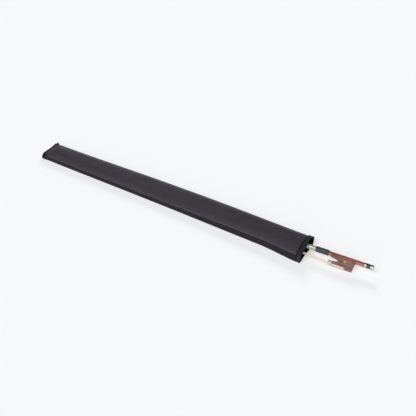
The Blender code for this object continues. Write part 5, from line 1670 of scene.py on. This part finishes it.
@dataclass
class BowDress:
    """Hair, winding and grip of the bow, and the finishes of its solids."""

    bow: BowShape
    strands: int = 150
    strand_radius: float = 0.11 * MM
    turns: int = 44
    turn_steps: int = 26
    wire: tuple[float, float] = (0.56 * MM, 0.30 * MM)  # half width and half height
    winding: tuple[float, float] = (0.1135, 0.0605)  # start from the button's end, and length
    grip: tuple[float, float] = (0.0870, 0.0265)  # the same
    grip_thickness: float = 0.8 * MM
    grip_wraps: int = 5
    grip_grid: tuple[int, int] = (40, 64)   # points round and along
    grip_ridge: float = 0.26 * MM
    grip_overlap: float = 0.06
    grip_end: float = 0.035
    grip_edge: float = 0.45                 # thickness share at the ends
    stick_sides: int = 8
    wrap_fit: float = 0.15 * MM
    wire_sides: int = 8
    strand_sides: int = 4
    strand_layers: tuple[float, float] = (0.45, 0.95)  # least and greatest height, in half thicknesses
    strand_drift: float = 0.12 * MM
    strand_spread: float = 0.96
    core_thickness: float = 0.28            # share of the hair's
    core_width: float = 0.46                # half width, in widths
    spread_places: tuple[float, ...] = (0.02, 0.05, 0.1, 0.15, 0.25, 0.4, 0.55, 0.7, 0.85)
    spread_rate: float = 3.0
    spread_power: float = 0.6

    def hair_path(self) -> tuple[np.ndarray, np.ndarray, np.ndarray]:
        """Centre line of the hair in the chord frame, with its width and its flat normal.

        Returns:
            (n, 3) points, (n,) widths and (n, 3) normals.
        """
        bow, thick = self.bow, self.bow.hair_thickness
        x = -(bow.length - bow.straight) + bow.mortise_setback + bow.mortise_length - bow.hair_fit - thick / 2
        z = -bow.head_drop - bow.liner_thickness - bow.plate_thickness - bow.head_fits - thick / 2
        turn = Matrix.Rotation(-bow.camber, 3, "Y")
        mouth, inside = (np.array(turn @ Vector((bow.at(place), 0, -bow.hair_drop)))
                         for place in (bow.ferrule_front + bow.hair_fit, bow.ferrule_front - bow.hair_inside))
        corner = np.array([x, 0, z])
        start = corner + [thick, 0, 0]
        points = [corner + [0, 0, bow.hair_root], corner + [0, 0, thick],
                  corner + [thick * 0.3, 0, thick * 0.3], start]
        widths = [bow.hair_tip] * 4
        for share in self.spread_places:
            points.append(start + (mouth - start) * share)
            spread = min(1.0, share * self.spread_rate) ** self.spread_power
            widths.append(bow.hair_tip + (bow.hair_frog - bow.hair_tip) * spread)
        path = np.array(points + [mouth, inside])
        tangent = np.gradient(path, axis=0)
        tangent /= np.linalg.norm(tangent, axis=1, keepdims=True)
        normal = np.cross(np.array([0, 1.0, 0]), tangent)
        return path, np.array(widths + [bow.hair_frog] * 2), normal

    def build_hair(self, shop: Workshop) -> None:
        """Make the hair: a thin core ribbon with fine strands over it.

        Args:
            shop: The workshop.
        """
        path, widths, normal = self.hair_path()
        random = np.random.default_rng(7)
        side = np.array([0, 1.0, 0])
        core = self.bow.hair_thickness * self.core_thickness
        ribbon = np.stack([path + side * widths[:, None] * self.core_width * a + normal * core * b
                           for a, b in ((-1, -1), (1, -1), (1, 1), (-1, 1))], axis=1)
        tubes = [ribbon]
        shares = (np.arange(self.strands) + 0.5) / self.strands - 0.5
        angles = np.arange(self.strand_sides) * TAU / self.strand_sides
        for share in shares:
            layer = random.choice([-1.0, 1.0]) * random.uniform(*self.strand_layers)
            drift = random.normal(0, 1, len(path)) * self.strand_drift
            drift[[0, 1, 2, 3, -2, -1]] = 0
            height = layer * (self.bow.hair_thickness / 2 - self.strand_radius)
            centre = path + side * (widths * share * self.strand_spread + drift)[:, None] + normal * height
            tubes.append(np.stack([centre + self.strand_radius * (side * math.cos(a) + normal * math.sin(a))
                                   for a in angles], axis=1))
        points, faces = [], []
        for tube in tubes:
            base, (count, sides) = sum(map(len, points)), tube.shape[:2]
            quads = strip_faces(count, sides, wrap_columns=True)
            quads += [tuple(range(sides)), tuple(range((count - 1) * sides, count * sides))]
            faces += [tuple(base + k for k in quad) for quad in quads]
            points.append(tube.reshape(-1, 3))
        hair = numpy_mesh("hair_ribbon", moved(np.concatenate(points), self.bow.chord), faces)
        shop.fit(hair, Body.BOW, "hair", "bow_hair", "hair")

    def build_winding(self, shop: Workshop) -> None:
        """Make the silver winding: one fine wire in an unbroken helix.

        Args:
            shop: The workshop.
        """
        start, length = self.winding
        wide, high = self.wire
        radius = self.bow.handle_radius + self.wrap_fit + high
        total = self.turns * self.turn_steps
        t = np.arange(total + 1) / total
        angle = t * self.turns * TAU
        x = self.bow.at(start) - wide / 2 - t * (length - wide)
        section = np.linspace(0, TAU, self.wire_sides + 1)[:-1]
        rings = np.stack([np.stack([x + wide * math.cos(a), (radius + high * math.sin(a)) * np.cos(angle),
                                    (radius + high * math.sin(a)) * np.sin(angle)], axis=1)
                          for a in section], axis=1)
        wire = swept("wound_wire", moved(rings, self.bow.handle), sharp=80)
        shop.fit(wire, Body.BOW, "wire", "silver", "silver_winding")

    def build_grip(self, shop: Workshop) -> None:
        """Make the leather grip with its sloping overlaps and its stepped ends.

        Args:
            shop: The workshop.
        """
        start, length = self.grip
        inner = self.bow.handle_radius / math.cos(math.pi / self.stick_sides) + self.wrap_fit
        sides, steps = self.grip_grid
        a = (np.arange(sides) + 0.5) / sides
        t = np.linspace(0, 1, steps)
        phase = (t[None, :] * self.grip_wraps + a[:, None]) % 1.0
        ridge = self.grip_ridge * (1 - phase) * ease(phase / self.grip_overlap)
        end = np.minimum(ease(t / self.grip_end), ease((1 - t) / self.grip_end))
        step = self.grip_edge + (1 - self.grip_edge) * end
        outer = inner + (self.grip_thickness + ridge) * step[None, :]
        bore = np.full((sides, 1), inner)
        radius = np.concatenate([bore, outer, bore], axis=1)
        x = self.bow.at(start) - length * np.concatenate([[0], t, [1]])
        rings = np.stack([np.broadcast_to(x, radius.shape), radius * np.cos(a * TAU)[:, None],
                          radius * np.sin(a * TAU)[:, None]], axis=-1)
        grip = swept("wrapped_grip", moved(rings, self.bow.handle), closed=True, sharp=70)
        shop.fit(grip, Body.BOW, "leather", "grip_leather", "leather_grip")

    def build(self, shop: Workshop) -> None:
        """Dress the bow.

        Args:
            shop: The workshop.
        """
        self.build_hair(shop)
        self.build_winding(shop)
        self.build_grip(shop)
        for node, finish in (("stick", "brazilwood"), ("head_liner", "ebony"), ("head_plate", "bone"),
                             ("head_plug", "maple")):
            shop.paint(node, finish)


@dataclass
class FrogDress:
    """Finishes and broken edges of the frog and of the button."""

    eased: tuple[tuple[str, Body, str, str, float], ...] = (
        ("frog_body", Body.FROG, "frog_wood", "frog_wood", 0.35 * MM),
        ("ferrule", Body.FROG, "ferrule", "silver", 0.12 * MM),
        ("pearl_slide", Body.FROG, "pearl", "pearl", 0.12 * MM),
    )
    painted: tuple[tuple[str, str], ...] = (
        ("near_eye", "eye"), ("far_eye", "eye"), ("knot_plug", "maple"), ("spread_wedge", "maple"),
        ("eyelet", "brass"), ("screw_shaft", "steel"), ("button_cap", "silver"), ("button_collar", "ebony"),
        ("button_ring", "silver"),
    )

    def build(self, shop: Workshop) -> None:
        """Dress the frog and the screw.

        Args:
            shop: The workshop.
        """
        for node, body, finish, slot, width in self.eased:
            shop.fit(shop.softened(node, width), body, finish, slot, node)
        for node, finish in self.painted:
            shop.paint(node, finish)


# Stage

@dataclass(frozen=True)
class Sun:
    """A broad sun: its strength, its angle across in degrees, where it shines from, if it glints."""

    name: str
    strength: float
    angle: float
    direction: tuple[float, float, float]
    glints: bool = True

    def build(self) -> None:
        """Make the lamp."""
        lamp = bpy.data.lights.new(self.name, "SUN")
        lamp.energy = self.strength
        lamp.angle = math.radians(self.angle)
        sun = bpy.data.objects.new(self.name, lamp)
        sun.visible_glossy = self.glints
        bpy.context.scene.collection.objects.link(sun)
        sun.rotation_euler = Vector(self.direction).to_track_quat("Z", "Y").to_euler()


@dataclass(frozen=True)
class Studio:
    """The pale floor, the soft light and the photograph's camera."""

    camera_place: tuple[float, float, float] = (0.553539, -0.647630, 0.602760)
    yaw: float = 0.565                      # camera's turn from the near side
    pitch: float = 0.651                    # its height angle
    focal_pixels: float = 430.303           # fitted to the photograph
    image: float = 416.0                    # its width in pixels
    sensor: float = 36.0                    # mm
    floor: str = "F4F5F7"
    floor_glow: str = "FDFEFF"
    floor_own: float = 0.50                 # glow's share of the floor
    glow_strength: float = 1.035
    floor_size: float = 30.0
    floor_sink: float = 0.05 * MM
    sky: Stops = ((0.10, "FBFCFF"), (0.85, "8E8F93"))  # horizon, then overhead
    sky_strength: float = 0.12
    suns: tuple[Sun, ...] = (
        Sun("back_sun", 1.6, 16.0, (-0.45, 0.86, 0.47), glints=False),
        Sun("rim_sun", 0.2, 24.0, (-0.62, 0.72, 0.42)),
        Sun("front_sun", 2.1, 50.0, (0.10, -1.0, 0.66)),
        Sun("top_sun", 1.1, 16.0, (-0.30, -0.60, 0.74)),
    )

    def build(self) -> None:
        """Make the floor, the world, the lights and the camera."""
        self.build_floor()
        self.build_light()
        self.build_camera()

    def build_floor(self) -> None:
        """Make the pale floor."""
        half = self.floor_size / 2
        points = np.array([[-half, -half, 0], [half, -half, 0], [half, half, 0], [-half, half, 0]], float)
        floor = numpy_mesh("floor", points - [0, 0, self.floor_sink], [(0, 1, 2, 3)])
        material = bpy.data.materials.new("pale_floor")
        material.use_nodes = True
        tree = material.node_tree
        cloth = add_node(tree, "ShaderNodeBsdfDiffuse", {"Color": srgb(self.floor)})
        glow = add_node(tree, "ShaderNodeEmission",
                        {"Color": srgb(self.floor_glow), "Strength": self.glow_strength})
        mixed = add_node(tree, "ShaderNodeMixShader", (self.floor_own, cloth, glow))
        fill_inputs(tree, tree.nodes["Material Output"], {"Surface": mixed})
        floor.data.materials.append(material)

    def build_light(self) -> None:
        """Make the even sky and the broad suns."""
        world = bpy.data.worlds.new("studio")
        world.use_nodes = True
        tree = world.node_tree
        where = add_node(tree, "ShaderNodeTexCoord").outputs["Generated"]
        upward = add_node(tree, "ShaderNodeSeparateXYZ", (where,)).outputs["Z"]
        sky = add_node(tree, RAMP, (upward,), self.sky)
        fill_inputs(tree, tree.nodes["Background"], {"Color": sky, "Strength": self.sky_strength})
        bpy.context.scene.world = world
        for sun in self.suns:
            sun.build()
        view = bpy.context.scene.view_settings
        view.view_transform = "Standard"
        view.look = "None"

    def build_camera(self) -> None:
        """Make the camera of the photograph."""
        data = bpy.data.cameras.new("camera")
        data.sensor_width = self.sensor
        data.lens = self.sensor * self.focal_pixels / self.image
        data.clip_start, data.clip_end = 0.01, 100
        camera = bpy.data.objects.new("camera", data)
        bpy.context.scene.collection.objects.link(camera)
        ca, sa, ce, se = math.cos(self.yaw), math.sin(self.yaw), math.cos(self.pitch), math.sin(self.pitch)
        axes = Matrix(((ca, -sa * se, sa * ce), (sa, ca * se, -ca * ce), (0, ce, se)))
        camera.matrix_world = Matrix.Translation(self.camera_place) @ axes.to_4x4()
        bpy.context.scene.camera = camera


def plain(box: Any) -> list[list[float]]:
    """Turn a box of two corners into plain lists."""
    return [[float(v) for v in corner] for corner in box]


def main() -> None:
    """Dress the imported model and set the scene."""
    logging.basicConfig(level=logging.INFO, format="%(name)s %(levelname)s %(message)s")
    for item in list(bpy.data.objects):
        bpy.data.objects.remove(item, do_unlink=True)
    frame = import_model()
    shop = Workshop(frame)
    Studio().build()
    shape = SleeveShape()
    for assembly in (PaddedPanels(shape), SideStrips(shape), EndTape(shape), MouthHem(shape),
                     BowDress(BowShape()), FrogDress()):
        assembly.build(shop)


if __name__ == "__main__":
    main()
